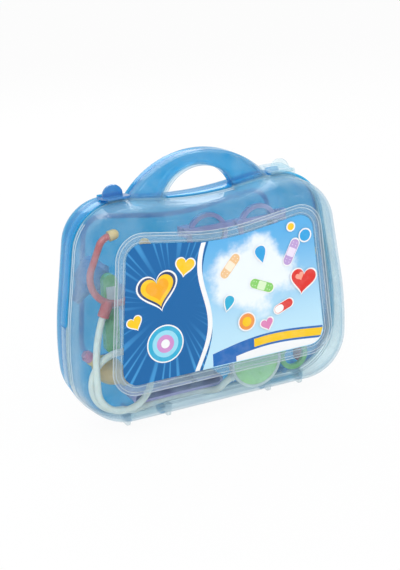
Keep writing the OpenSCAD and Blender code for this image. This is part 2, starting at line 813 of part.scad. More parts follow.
module spectacle_frame() {
  color(lilac) at_frame() difference() {
    union() {
      rims(rim_r, 4);
      translate([-bridge, 3, 0]) cube([2 * bridge, 6, 4]);
      for (s = [-1, 1]) translate([s * hinge_x - 5, 2.5, 0]) cube([10, 9, 4]);
      for (s = [-1, 1]) for (z = [2.5, 9.5])
        translate([s * hinge_x - 2.5, z, 3.9]) cube([5, 2, 5.5]);
    }
    translate([0, 0, -1]) rims(rim_r - 4, 8);
    translate([0, 0, 1.4]) rims(rim_r - 3, 1.2);
    for (s = [-1, 1]) translate([s * hinge_x, 7, temple_fold]) rotate([90, 0, 0])
      cylinder(d = 1.9, h = 30, center = true);
  }
}

module spectacle_lenses() {
  color([0.85, 0.92, 1, 0.4]) at_frame() translate([0, 0, 1.5]) rims(rim_r - 3.2, 1);
}

// Temple lying folded along the frame, from its hinge pin towards the other side
module temple(side) {
  at_frame() translate([side * hinge_x, 7, temple_fold]) {
    rotate([90, 0, 0]) cylinder(d = 3.4, h = 4.6, center = true);
    rotate([90, 0, 0]) cylinder(d = 1.8, h = 8.6, center = true);
    translate([side < 0 ? 0 : -temple_long, -2.3, -1.3]) cube([temple_long, 4.6, 2.6]);
    translate([-side * temple_long, 0, -1.3]) cylinder(r = 2.3, h = 2.6);
  }
}

module temple_left() {
  color(lilac) temple(-1);
}

module temple_right() {
  color(lilac) temple(1);
}

dish_c = [30, case_foot + 10];
dish_bend = 50;

// Half the section of the dish, out from the middle of its width: base, leaning wall, turned rim
function dish_section(side) = [[0, 0], [side * 24.2, 0], [side * 26, dish_high - 1.6],
  [side * 28.4, dish_high - 1.6], [side * 28.4, dish_high], [side * (26.2 - dish_wall), dish_high],
  [side * (24.4 - dish_wall), dish_wall], [0, dish_wall]];

module kidney_dish() {
  color([0.2, 0.5, 0.9]) facing(inner_face - 0.6) translate([dish_c.x, dish_c.y, 0]) {
    rotate([0, 0, 40]) rotate_extrude(angle = 100) translate([dish_bend, 0])
      for (side = [-1, 1]) polygon(dish_section(side));
    for (side = [-1, 1]) rotate([0, 0, 90 + side * 50]) translate([dish_bend, 0, 0])
      rotate([0, 0, side > 0 ? 0 : 180]) rotate_extrude(angle = 180) polygon(dish_section(1));
  }
}

rear_shell();
front_shell();
label_card();
rear_latch();
front_latch();
headset();
ear_tip_left();
ear_tip_right();
listening_tube();
chest_disc();
chest_membrane();
arm_cuff();
gauge_case();
gauge_face();
gauge_needle();
cuff_tube();
pump_bulb();
pump_valve();
syringe_barrel();
syringe_plunger();
syringe_seal();
thermometer();
thermometer_window();
scope_body();
scope_cone();
hammer_handle();
hammer_head();
scissors_lower();
scissors_upper();
scissors_pin();
spectacle_frame();
spectacle_lenses();
temple_left();
temple_right();
kidney_dish();
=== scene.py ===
"""Looks of the toy doctor case: translucent shells, printed card and play tools in a pale studio.

Sizes in this file are in millimetres in the part's own frame (X to the right, -Y to the front,
Z up) and become metres when a mesh is made.
"""

import logging
import math
from dataclasses import dataclass, field
from enum import Enum

import bmesh
import bpy
import numpy as np
from mathutils import Matrix, Vector


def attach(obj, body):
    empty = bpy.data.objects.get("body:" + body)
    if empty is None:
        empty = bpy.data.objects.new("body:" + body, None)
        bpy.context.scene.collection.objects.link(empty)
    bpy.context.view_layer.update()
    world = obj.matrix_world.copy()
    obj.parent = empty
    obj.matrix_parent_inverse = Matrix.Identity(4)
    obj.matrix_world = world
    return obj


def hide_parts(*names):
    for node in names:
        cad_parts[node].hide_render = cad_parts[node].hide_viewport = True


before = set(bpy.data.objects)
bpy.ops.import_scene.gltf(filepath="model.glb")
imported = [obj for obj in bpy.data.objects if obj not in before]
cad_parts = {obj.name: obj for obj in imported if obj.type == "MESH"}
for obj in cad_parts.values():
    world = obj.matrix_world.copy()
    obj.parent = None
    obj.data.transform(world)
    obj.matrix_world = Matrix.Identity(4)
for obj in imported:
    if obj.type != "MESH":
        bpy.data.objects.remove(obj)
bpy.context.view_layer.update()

LOG = logging.getLogger("toy_case")
MM = 0.001
Colour = tuple[float, float, float]
Point = tuple[float, float, float]
Pieces = list[bpy.types.Object]


class Side(Enum):
    """Which shell half a form belongs to; the value is the sign of its Y."""

    FRONT = -1
    REAR = 1

    @property
    def body(self) -> str:
        """The CAD body that the half's pieces ride on."""
        return f"{self.name.lower()}_case"

    @property
    def node(self) -> str:
        """The CAD node that the half's shell stands for."""
        return f"{self.name.lower()}_shell"

    @property
    def slot(self) -> str:
        """The material slot of the half's plastic."""
        return "shell_blue" if self is Side.REAR else "shell_clear"


# Shader helpers


class Shade:
    """A node socket that takes part in Python arithmetic by adding Math nodes."""

    def __init__(self, tree: "NodeTree", socket: bpy.types.NodeSocket) -> None:
        """Keeps the tree and the output socket that the value comes from."""
        self.tree = tree
        self.socket = socket

    def _math(self, operation: str, *values: "Shade | float", clamp: bool = False) -> "Shade":
        """Adds one Math node for an operation on this tree."""
        return self.tree.add("ShaderNodeMath", {"operation": operation, "use_clamp": clamp},
                             dict(enumerate(values)))

    def __add__(self, other: "Shade | float") -> "Shade":
        """Sum."""
        return self._math("ADD", self, other)

    __radd__ = __add__

    def __mul__(self, other: "Shade | float") -> "Shade":
        """Product."""
        return self._math("MULTIPLY", self, other)

    __rmul__ = __mul__

    def __sub__(self, other: "Shade | float") -> "Shade":
        """Difference."""
        return self._math("SUBTRACT", self, other)

    def __rsub__(self, other: float) -> "Shade":
        """Difference from a number."""
        return self._math("SUBTRACT", other, self)

    def __pow__(self, other: "Shade | float") -> "Shade":
        """Power."""
        return self._math("POWER", self, other)

    def __gt__(self, other: "Shade | float") -> "Shade":
        """One where this is greater, else nought."""
        return self._math("GREATER_THAN", self, other)

    def sine(self) -> "Shade":
        """Sine of the value in radians."""
        return self._math("SINE", self)

    def clamp(self) -> "Shade":
        """The value kept between 0 and 1."""
        return self._math("ADD", self, 0.0, clamp=True)

    def step(self, low: float, high: float) -> "Shade":
        """Smooth step from 0 at low to 1 at high."""
        return self.tree.add("ShaderNodeMapRange", {"interpolation_type": "SMOOTHSTEP"},
                             {"Value": self, "From Min": low, "From Max": high})


class NodeTree:
    """A node tree whose nodes are all added through one method."""

    def __init__(self, owner: bpy.types.Material | bpy.types.World) -> None:
        """Clears the owner's tree and keeps it.

        Args:
            owner: the material or world.
        """
        owner.use_nodes = True
        self.tree = owner.node_tree
        self.tree.nodes.clear()

    def add(self, kind: str, settings: dict | None = None, inputs: dict | None = None,
            output: int | str = 0) -> Shade | None:
        """Adds a node.

        Args:
            kind: the node's type name.
            settings: node attributes, set before the sockets.
            inputs: socket name or number to a value or a Shade.
            output: the output socket to return.

        Returns:
            The chosen output as a Shade, or None from a node that has no output.
        """
        node = self.tree.nodes.new(kind)
        for name, value in (settings or {}).items():
            setattr(node, name, value)
        for name, value in (inputs or {}).items():
            if isinstance(value, Shade):
                self.tree.links.new(value.socket, node.inputs[name])
            else:
                node.inputs[name].default_value = value
        return Shade(self, node.outputs[output]) if len(node.outputs) else None

    def mix(self, factor: Shade | float, a: Shade | Colour, b: Shade | Colour) -> Shade:
        """Mixes two colours by a factor."""
        a, b = (c if isinstance(c, Shade) else (*c, 1.0) for c in (a, b))
        return self.add("ShaderNodeMix", {"data_type": "RGBA"}, {0: factor, 6: a, 7: b}, 2)

    def place(self) -> Shade:
        """Object coordinates, in metres."""
        return self.add("ShaderNodeTexCoord", output="Object")

    def axes(self, vector: Shade) -> list[Shade]:
        """The three parts of a vector."""
        node = self.add("ShaderNodeSeparateXYZ", {}, {0: vector}).socket.node
        return [Shade(self, part) for part in node.outputs]

    def noise(self, scale: float, detail: float = 3.0, rough: float = 0.5) -> Shade:
        """Noise on object coordinates; scale is in cycles per metre."""
        return self.add("ShaderNodeTexNoise", {}, {
            "Vector": self.place(), "Scale": scale, "Detail": detail, "Roughness": rough})

    def bump(self, height: Shade, depth_mm: float, normal: Shade | None = None) -> Shade:
        """A Bump node whose full height is given in millimetres.

        Args:
            height: the height, 0 to 1.
            depth_mm: the full height.
            normal: the normal that it adds to, if any.

        Returns:
            The bent normal.
        """
        inputs = {"Height": height, "Distance": depth_mm * MM, "Strength": 1.0}
        if normal is not None:
            inputs["Normal"] = normal
        return self.add("ShaderNodeBump", {}, inputs)

    def plastic(self, colour: Shade, sockets: dict) -> Shade:
        """A Principled shader of a colour with further sockets by name."""
        return self.add("ShaderNodeBsdfPrincipled", {}, {"Base Color": colour, **sockets})

    def print_gloss(self, colour: Shade) -> Shade:
        """Printed card: fine paper grain under a thin gloss."""
        paper = self.noise(1500.0, 3.0, 0.6)
        return self.plastic(colour, {
            "Roughness": paper * 0.12 + 0.34, "Specular IOR Level": 0.3, "Coat Weight": 0.12,
            "Coat Roughness": 0.1, "Normal": self.bump(paper, 0.01)})

    def seen(self, glossy: float = 1.0) -> Shade:
        """A mask of the rays that come from the camera, through plastic or by a reflection.

        Args:
            glossy: how much of a glossy ray counts.

        Returns:
            One for such a ray, else nought.
        """
        node = self.add("ShaderNodeLightPath").socket.node
        camera, gloss, through = (Shade(self, node.outputs[f"Is {kind} Ray"])
                                  for kind in ("Camera", "Glossy", "Transmission"))
        return (camera + gloss * glossy + through).clamp()

    def finish(self, shader: Shade, kind: str = "Material") -> None:
        """Links a shader to the material's or the world's output."""
        self.add(f"ShaderNodeOutput{kind}", {}, {"Surface": shader})


def new_material(name: str) -> tuple[bpy.types.Material, NodeTree]:
    """A new material and its empty node tree."""
    material = bpy.data.materials.new(name)
    return material, NodeTree(material)


# Finishes


class Surface:
    """What the finishes share: a name, and a material of the shader that paint() returns."""

    name: str

    def material(self) -> bpy.types.Material:
        """Makes the finish's material.

        Returns:
            The new material, named after the finish.
        """
        material, tree = new_material(self.name)
        tree.finish(self.paint(tree))
        return material


@dataclass(frozen=True)
class ShellPlastic(Surface):
    """Thin translucent moulded plastic, denser where it is seen edge on.

    Attributes:
        name: the material's name.
        colour: body colour.
        tint: colour that one wall surface gives to the light passing through it.
        cover: how much one wall surface covers what is behind it, seen square on.
        edge: further cover added towards a grazing view.
        rough: base roughness.
        dots: height in millimetres of a fine moulded stipple, nought for a plain surface.
        gloss: strength of the clear gloss on top.
        cloud: how much the cover wanders in patches of haze.
        scales: cycles per metre of the flow marks, the grain, the haze and the stipple.
    """

    name: str
    colour: Colour
    tint: Colour
    cover: float
    edge: float
    rough: float = 0.12
    dots: float = 0.0
    gloss: float = 0.5
    cloud: float = 0.05
    scales: tuple[float, ...] = (18.0, 420.0, 46.0, 800.0)

    def paint(self, tree: NodeTree) -> Shade:
        """Flow marks in tint and gloss, patches of haze in the cover and a soft bump.

        Args:
            tree: the material's nodes.

        Returns:
            The shader.
        """
        flow_scale, grain_scale, haze_scale, dot_scale = self.scales
        flow = tree.noise(flow_scale, 2.0, 0.6)
        grain = tree.noise(grain_scale, 3.0, 0.6)
        haze = tree.noise(haze_scale, 4.0, 0.65)
        facing = tree.add("ShaderNodeLayerWeight", {}, {"Blend": 0.5}, "Facing")
        cover = (facing ** 3.0) * self.edge + (flow - 0.5) * 0.07 + (haze - 0.5) * self.cloud
        cover = cover + self.cover
        pale = tuple(c + (1.0 - c) * 0.12 for c in self.colour)
        normal = tree.bump(grain, 0.006, tree.bump(flow, 0.35))
        if self.dots:
            cell = tree.add("ShaderNodeTexVoronoi", {}, {
                "Vector": tree.place(), "Scale": dot_scale})
            pit = cell.step(0.15, 0.5)
            normal = tree.bump(pit, self.dots, normal)
            cover = cover + (0.5 - pit) * 0.14
        body = tree.plastic(tree.mix(flow.step(0.35, 0.7), self.colour, pale), {
            "Roughness": (haze - 0.5) * 0.10 + self.rough, "IOR": 1.5,
            "Specular IOR Level": 0.2 + 0.6 * self.gloss, "Coat Weight": self.gloss,
            "Coat Roughness": 0.09, "Normal": normal})
        through = tree.add("ShaderNodeBsdfTransparent", {}, {"Color": (*self.tint, 1.0)})
        return tree.add("ShaderNodeMixShader", {}, {0: cover.clamp(), 1: through, 2: body})


@dataclass(frozen=True)
class MouldedPlastic(Surface):
    """Opaque glossy toy plastic with faint flow marks and fine grain, in cycles per metre."""

    name: str
    colour: Colour
    rough: float = 0.28
    depth: float = 0.12
    flow_scale: float = 60.0
    grain_scale: float = 900.0

    def paint(self, tree: NodeTree) -> Shade:
        """The colour wanders by depth between a darker and a lighter one along the flow marks.

        Args:
            tree: the material's nodes.

        Returns:
            The shader.
        """
        flow = tree.noise(self.flow_scale, 3.0, 0.55)
        grain = tree.noise(self.grain_scale, 2.0, 0.6)
        dark = tuple(c * (1.0 - self.depth) for c in self.colour)
        light = tuple(c + (1.0 - c) * self.depth * 0.6 for c in self.colour)
        return tree.plastic(tree.mix(flow.step(0.3, 0.7), dark, light), {
            "Roughness": (flow - 0.5) * 0.16 + self.rough, "Coat Weight": 0.25,
            "Coat Roughness": 0.12, "Normal": tree.bump(grain, 0.02)})


@dataclass(frozen=True)
class SoftRubber(Surface):
    """Soft matt rubber or vinyl that lets a little light in, clouded in cycles per metre."""

    name: str
    colour: Colour
    rough: float = 0.5
    cloud_scale: float = 90.0
    grain_scale: float = 1300.0

    def paint(self, tree: NodeTree) -> Shade:
        """Clouds of a warmer colour over a fine grain.

        Args:
            tree: the material's nodes.

        Returns:
            The shader.
        """
        cloud = tree.noise(self.cloud_scale, 3.0, 0.6)
        grain = tree.noise(self.grain_scale, 3.0, 0.6)
        warm = tuple(c * f for c, f in zip(self.colour, (0.97, 0.92, 0.84)))
        return tree.plastic(tree.mix(cloud.step(0.3, 0.72), self.colour, warm), {
            "Roughness": (cloud - 0.5) * 0.2 + self.rough, "Subsurface Weight": 0.15,
            "Subsurface Radius": (0.004, 0.003, 0.002), "Subsurface Scale": 1.0,
            "Normal": tree.bump(grain, 0.03)})


@dataclass(frozen=True)
class PrintedCard(Surface):
    """Glossy printed card: a deep blue field with light rays, a pale sky with a cloud beside it.

    Attributes:
        rays_from: (x, z) in metres of the point that the rays leave.
        cloud_at: (x, z) in metres of the cloud bank's middle.
    """

    name: str = "printed_card"
    deep: Colour = (0.002, 0.125, 0.37)
    ray: Colour = (0.06, 0.34, 0.70)
    sky_high: Colour = (0.10, 0.42, 0.78)
    sky_low: Colour = (0.52, 0.78, 0.92)
    cloud_white: Colour = (0.90, 0.94, 0.97)
    rays_from: tuple[float, float] = (-0.049, 0.118)
    cloud_at: tuple[float, float] = (0.030, 0.128)

    def paint(self, tree: NodeTree) -> Shade:
        """Builds the print from object coordinates.

        The rays are a sine of the angle about their point, narrowed and bunched by a second
        sine; the two fields part along a wavy upright line.

        Args:
            tree: the material's nodes.

        Returns:
            The shader.
        """
        x, _, z = tree.axes(tree.place())
        right, up = x - self.rays_from[0], z - self.rays_from[1]
        angle = tree.add("ShaderNodeMath", {"operation": "ARCTAN2"}, {0: up, 1: right})
        wave = angle * 41.0 + (angle * 11.0).sine() * 2.2 + tree.noise(30.0, 2.0) * 0.5
        reach = (right * right + up * up) ** 0.5
        rays = wave.sine().step(0.45, 0.98) * reach.step(0.018, 0.075)
        field_colour = tree.mix(rays * 0.9, self.deep, self.ray)
        aside, above = x - self.cloud_at[0], z - self.cloud_at[1]
        bank = (aside * aside * 0.6 + above * above) ** 0.5
        puffs = tree.noise(26.0, 5.0, 0.55) * 0.9 + bank.step(0.060, 0.010) * 0.42
        sky = tree.mix(z.step(0.06, 0.175), self.sky_low, self.sky_high)
        sky = tree.mix(puffs.step(0.62, 0.80) * 0.9, sky, self.cloud_white)
        bend = (z * 55.0).sine() * 0.006
        in_sky = (x + bend + 0.018 - (z - 0.1) * 0.10) > 0.0
        return tree.print_gloss(tree.mix(in_sky, field_colour, sky))


@dataclass(frozen=True)
class PrintInk(Surface):
    """Printed colour read from the piece's own colour attribute."""

    name: str = "printed_ink"

    def paint(self, tree: NodeTree) -> Shade:
        """The ink's colour, paler in faint clouds.

        Args:
            tree: the material's nodes.

        Returns:
            The shader.
        """
        ink = tree.add("ShaderNodeAttribute", {"attribute_name": "ink"}, {}, "Color")
        tone = (tree.noise(120.0, 3.0, 0.5) - 0.45) * 0.2
        return tree.print_gloss(tree.mix(tone, ink, (1.0, 1.0, 1.0)))


class Finish(Enum):
    """The finishes used on the case and its tools."""

    SHELL_BLUE = ShellPlastic("blue_case_plastic", (0.002, 0.37, 0.74), (0.17, 0.74, 0.96),
                              0.40, 0.42, gloss=0.22)
    LATCH_BLUE = ShellPlastic("blue_latch_plastic", (0.004, 0.25, 0.62), (0.20, 0.62, 0.94),
                              0.62, 0.30, gloss=0.3)
    RIM_BLUE = ShellPlastic("blue_rim_plastic", (0.004, 0.52, 0.96), (0.22, 0.80, 1.0),
                            0.55, 0.30, gloss=0.1)
    RIM_CLEAR = ShellPlastic("clear_rim_plastic", (0.84, 0.95, 0.98), (0.94, 0.98, 0.99),
                             0.50, 0.40, gloss=0.3)
    SHELL_CLEAR = ShellPlastic("clear_case_plastic", (0.46, 0.70, 0.88), (0.94, 0.985, 0.99),
                               0.09, 0.74, 0.10, cloud=0.34)
    LIP_BLUE = ShellPlastic("pale_lip_plastic", (0.03, 0.52, 0.90), (0.30, 0.84, 1.0), 0.34, 0.40)
    # near-white finish of thin ridges by the lip and round the card: a painted highlight
    EDGE = ShellPlastic("painted_highlight_plastic", (0.90, 0.96, 1.0), (0.96, 0.99, 1.0), 0.50, 0.35)
    FROST = ShellPlastic("frosted_frame_plastic", (0.66, 0.80, 0.92), (0.94, 0.97, 0.99),
                         0.20, 0.80, 0.16, 0.12)
    CARD = PrintedCard()
    INK = PrintInk()
    CORAL = MouldedPlastic("coral_plastic", (0.72, 0.08, 0.07))
    WHITE = MouldedPlastic("white_plastic", (0.80, 0.80, 0.78))
    LILAC = MouldedPlastic("lilac_plastic", (0.50, 0.38, 0.74))
    PINK = MouldedPlastic("pink_plastic", (0.78, 0.20, 0.38))
    YELLOW = MouldedPlastic("yellow_plastic", (0.90, 0.56, 0.03))
    GREEN = MouldedPlastic("green_plastic", (0.16, 0.52, 0.08))
    MINT = MouldedPlastic("mint_plastic", (0.46, 0.80, 0.32), depth=0.05)
    BLUE = MouldedPlastic("blue_plastic", (0.03, 0.24, 0.66))
    CREAM = SoftRubber("cream_rubber", (0.86, 0.54, 0.19))
    TUBE = SoftRubber("tube_rubber", (0.94, 0.92, 0.87), 0.38)
    SYRINGE = ShellPlastic("syringe_plastic", (0.90, 0.62, 0.05), (1.0, 0.86, 0.35), 0.62, 0.3)
    LENS = ShellPlastic("lens_plastic", (0.80, 0.88, 0.95), (0.95, 0.97, 1.0), 0.10, 0.4, 0.05)

    def get(self) -> bpy.types.Material:
        """The finish's material, built once."""
        return bpy.data.materials.get(self.value.name) or self.value.material()


# Mesh helpers


def linked(name: str, data: bpy.types.ID, place: Matrix | None = None) -> bpy.types.Object:
    """A new object for some data, set at a place and linked to the scene.

    Args:
        name: the object's name.
        data: its mesh, camera or lamp.
        place: its matrix in metres, the origin if left out.

    Returns:
        The object.
    """
    thing = bpy.data.objects.new(name, data)
    if place is not None:
        thing.matrix_world = place
    bpy.context.scene.collection.objects.link(thing)
    return thing


def grid_faces(rows: int, cols: int, wrap_rows: bool, start: int = 0) -> list[list[int]]:
    """Quads of a grid of points numbered row by row, whose rows are closed.

    Args:
        rows: number of rows.
        cols: number of points in a row.
        wrap_rows: whether the last row joins the first.
        start: number of the first point.

    Returns:
        Four point numbers a face.
    """
    r, c = np.meshgrid(np.arange(rows if wrap_rows else rows - 1), np.arange(cols), indexing="ij")
    r2, c2 = (r + 1) % rows, (c + 1) % cols
    quads = np.stack([r * cols + c, r * cols + c2, r2 * cols + c2, r2 * cols + c], axis=-1)
    return (quads.reshape(-1, 4) + start).tolist()


def at_depth(outline: np.ndarray, y: float) -> np.ndarray:
    """A front view (x, z) set at depth y, as (n, 3)."""
    return np.column_stack([outline[:, 0], np.full(len(outline), y), outline[:, 1]])


class Form:
    """Points and faces of a piece, gathered from several surfaces."""

    def __init__(self) -> None:
        """Starts empty."""
        self.points: list[np.ndarray] = []
        self.faces: list[list[int]] = []
        self.count = 0

    def add(self, points: np.ndarray, faces: list[list[int]]) -> "Form":
        """Adds points and the faces that join them, whose numbers go on from count.

        Args:
            points: an array whose last axis is x, y, z.
            faces: point numbers a face.

        Returns:
            The form itself.
        """
        self.points.append(points.reshape(-1, 3))
        self.faces += faces
        self.count += len(self.points[-1])
        return self

    def grid(self, points: np.ndarray, wrap_rows: bool = False, caps: bool = False) -> "Form":
        """Adds a (rows, cols, 3) grid of closed rows, its end rows capped flat if asked.

        Args:
            points: the grid.
            wrap_rows: whether the last row joins the first.
            caps: whether the end rows are closed.

        Returns:
            The form itself.
        """
        rows, cols = points.shape[:2]
        faces = grid_faces(rows, cols, wrap_rows, self.count)
        if caps:
            first = self.count + np.arange(cols)
            faces += [first.tolist(), (first + (rows - 1) * cols).tolist()]
        return self.add(points, faces)

    def prism(self, outline: np.ndarray, low: float, high: float) -> "Form":
        """Adds a side view (y, z) drawn out along X from low to high."""
        ends = [np.column_stack([np.full(len(outline), x), outline]) for x in (low, high)]
        return self.grid(np.stack(ends), caps=True)

    def plate(self, outline: np.ndarray, low: float, high: float) -> "Form":
        """Adds a front view (x, z) drawn out along Y from low to high."""
        return self.grid(np.stack([at_depth(outline, y) for y in (low, high)]), caps=True)

    def post(self, x: float, z: float, low: float, high: float, radius: float) -> "Form":
        """Adds a round bar along Y from low to high."""
        path = np.array([(x, low, z), (x, high, z)], float)
        return self.grid(sweep(path, radius, 24, (1.0, 0.0, 0.0)), caps=True)

    def object(self, name: str, finish: Finish, body: str, slot: str, node: str = "",
               bevel: float = 0.0, smooth: float = 42.0, outward: bool = True) -> bpy.types.Object:
        """Makes the Blender object.

        Args:
            name: the piece's name.
            finish: its finish.
            body: the CAD body that it rides on.
            slot: the name of a material slot; not used.
            node: the CAD node that it stands for, empty for none.
            bevel: edge rounding in millimetres, nought for none.
            smooth: sharpest angle that is shaded smooth, in degrees.
            outward: whether faces are turned outwards here.

        Returns:
            The object, linked to the scene and riding on its body.
        """
        mesh = bpy.data.meshes.new(name)
        mesh.from_pydata((np.concatenate(self.points) * MM).tolist(), [], self.faces)
        if outward:
            shape = bmesh.new()
            shape.from_mesh(mesh)
            bmesh.ops.recalc_face_normals(shape, faces=shape.faces)
            shape.to_mesh(mesh)
            shape.free()
        mesh.polygons.foreach_set("use_smooth", np.ones(len(mesh.polygons), bool))
        mesh.set_sharp_from_angle(angle=math.radians(smooth))
        piece = linked(name, mesh)
        mesh.materials.append(finish.get())
        if bevel:
            soften = piece.modifiers.new("edges", "BEVEL")
            soften.width = bevel * MM
            soften.segments = 3
            soften.limit_method = "ANGLE"
            soften.angle_limit = math.radians(40)
            soften.harden_normals = False
        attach(piece, body)
        if node:
            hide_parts(node)
        return piece


def unit(vectors: np.ndarray) -> np.ndarray:
    """Vectors of length one along the last axis."""
    return vectors / np.maximum(np.linalg.norm(vectors, axis=-1, keepdims=True), 1e-12)


def arc(centre: tuple[float, float], radius: float, start: float, end: float,
        count: int) -> np.ndarray:
    """Points of an arc from start to end, in degrees."""
    g = np.radians(np.linspace(start, end, count))
    return np.column_stack([centre[0] + radius * np.cos(g), centre[1] + radius * np.sin(g)])


class Outline:
    """A closed outline with rounded corners, as points and outward directions.

    Each corner is (x, z, radius). A point of its rounding is the rounding's centre plus the radius
    times a unit direction that turns evenly from one side's square to the next one's.
    """

    def __init__(self, corners: list[Point], step: float = 2.0) -> None:
        """Works out the points, a rounding point every step millimetres or six degrees.

        Args:
            corners: (x, z, radius) of each corner, anticlockwise.
            step: largest distance of rounding points.
        """
        place = np.array(corners)[:, :2]
        points, ways = [], []
        for i, (_, _, radius) in enumerate(corners):
            a, p, b = place[i - 1], place[i], place[(i + 1) % len(corners)]
            u, v = unit(p - a), unit(b - p)
            turn = math.atan2(u[0] * v[1] - u[1] * v[0], float(u @ v))
            sign = math.copysign(1.0, turn)
            start = p - u * radius * math.tan(abs(turn) / 2)
            centre = start + sign * radius * np.array([-u[1], u[0]])
            first = math.atan2(start[1] - centre[1], start[0] - centre[0])
            count = int(max(4, math.ceil(abs(turn) * radius / step), math.ceil(abs(turn) / 0.10)))
            g = first + turn * np.linspace(0.0, 1.0, count + 1)
            way = np.column_stack([np.cos(g), np.sin(g)])
            points.append(centre + radius * way)
            ways.append(sign * way)
        self.points = np.concatenate(points)
        self.ways = np.concatenate(ways)

    @classmethod
    def of(cls, points: np.ndarray, ways: np.ndarray) -> "Outline":
        """An outline of given points and directions.

        Args:
            points: its (x, z) points.
            ways: their outward directions.

        Returns:
            The outline.
        """
        outline = cls.__new__(cls)
        outline.points, outline.ways = points, ways
        return outline

    def band(self, section: np.ndarray) -> np.ndarray:
        """A (k, n, 3) grid of the section's (out, y) points carried round the outline."""
        return np.stack([at_depth(self.points + self.ways * out, y) for out, y in section])

    def run(self, keep: np.ndarray, section: np.ndarray) -> np.ndarray:
        """An (n, k, 3) grid of the section along the outline where keep is true.

        Args:
            keep: a flag for each point, one run true.
            section: (out, y) points.

        Returns:
            The grid.
        """
        order = np.roll(np.arange(len(keep)), -int(np.argmin(keep)))
        order = order[keep[order]]
        part = Outline.of(self.points[order], self.ways[order])
        return part.band(section).transpose(1, 0, 2)

    def dense(self, step: float) -> "Outline":
        """The same outline with points added so that none are further apart than step.

        Args:
            step: the largest distance.

        Returns:
            The denser outline.
        """
        gap, turn = (np.roll(a, -1, axis=0) - a for a in (self.points, self.ways))
        count = np.maximum(1, np.ceil(np.linalg.norm(gap, axis=1) / step)).astype(int)
        index = np.repeat(np.arange(len(count)), count)
        share = (np.arange(len(index)) - np.repeat(np.cumsum(count) - count, count)) / count[index]
        share = share[:, None]
        return Outline.of(self.points[index] + gap[index] * share,
                          unit(self.ways[index] + turn[index] * share))


def rounded(section: list[tuple[float, float]], radius: float, count: int = 3) -> np.ndarray:
    """A closed section with each corner rounded by a quadratic curve through its neighbours.

    Args:
        section: the corners.
        radius: how far from a corner its rounding starts.
        count: steps to a corner.

    Returns:
        The points.
    """
    p = np.array(section, float)
    before, after = np.roll(p, 1, axis=0), np.roll(p, -1, axis=0)
    room = np.minimum(np.linalg.norm(p - before, axis=1), np.linalg.norm(after - p, axis=1)) * 0.45
    r = np.minimum(radius, room)[:, None]
    a, b = p + unit(before - p) * r, p + unit(after - p) * r
    t = np.linspace(0.0, 1.0, count + 1)[None, :, None]
    curve = (1 - t) ** 2 * a[:, None] + 2 * t * (1 - t) * p[:, None] + t ** 2 * b[:, None]
    return curve.reshape(-1, 2)


def lathe(profile: np.ndarray, centre: Point, tilt: float, around: int) -> np.ndarray:
    """A (k, around, 3) grid: (radius, along) points turned about an axis in the front view.

    Args:
        profile: the points.
        centre: the axis's nought.
        tilt: degrees from X up to the axis.
        around: points to a turn.

    Returns:
        The grid, a row for each point of the profile.
    """
    g = np.linspace(0.0, 2 * np.pi, around, endpoint=False)
    along = profile[:, 1:] + 0 * g
    side, deep = profile[:, :1] * np.cos(g), profile[:, :1] * np.sin(g)
    c, s = math.cos(math.radians(tilt)), math.sin(math.radians(tilt))
    return np.stack([centre[0] + c * along - s * side, centre[1] - deep,
                     centre[2] + s * along + c * side], axis=-1)


def sweep(path: np.ndarray, radius: float, sides: int,
          guide: Point = (0.0, 1.0, 0.0)) -> np.ndarray:
    """Circles square to a path, kept from twisting by a guide direction.

    Args:
        path: points of the middle line.
        radius: the circles' radius.
        sides: points to a circle.
        guide: a direction that is never along the path.

    Returns:
        A (k, sides, 3) grid, a row for each point of the path.
    """
    t = unit(np.gradient(path, axis=0))
    u = unit(np.cross(t, np.array(guide)))
    v = np.cross(t, u)
    g = np.linspace(0.0, 2 * np.pi, sides, endpoint=False)[None, :, None]
    return path[:, None] + radius * (u[:, None] * np.cos(g) + v[:, None] * np.sin(g))


def spline(points: np.ndarray, count: int) -> np.ndarray:
    """Catmull-Rom curve through points, count points to each span and the last point.

    Args:
        points: points that the curve goes through.
        count: points to a span.

    Returns:
        The curve's points.
    """
    p = np.vstack([points[0], points, points[-1]])
    a, b, c, d = (p[i:len(p) - 3 + i][:, None] for i in range(4))
    t = np.linspace(0.0, 1.0, count, endpoint=False)[None, :, None]
    curve = 0.5 * (2 * b + t * (c - a) + t ** 2 * (2 * a - 5 * b + 4 * c - d)
                   + t ** 3 * (3 * b - a - 3 * c + d))
    return np.vstack([curve.reshape(-1, 3), points[-1]])


# The case


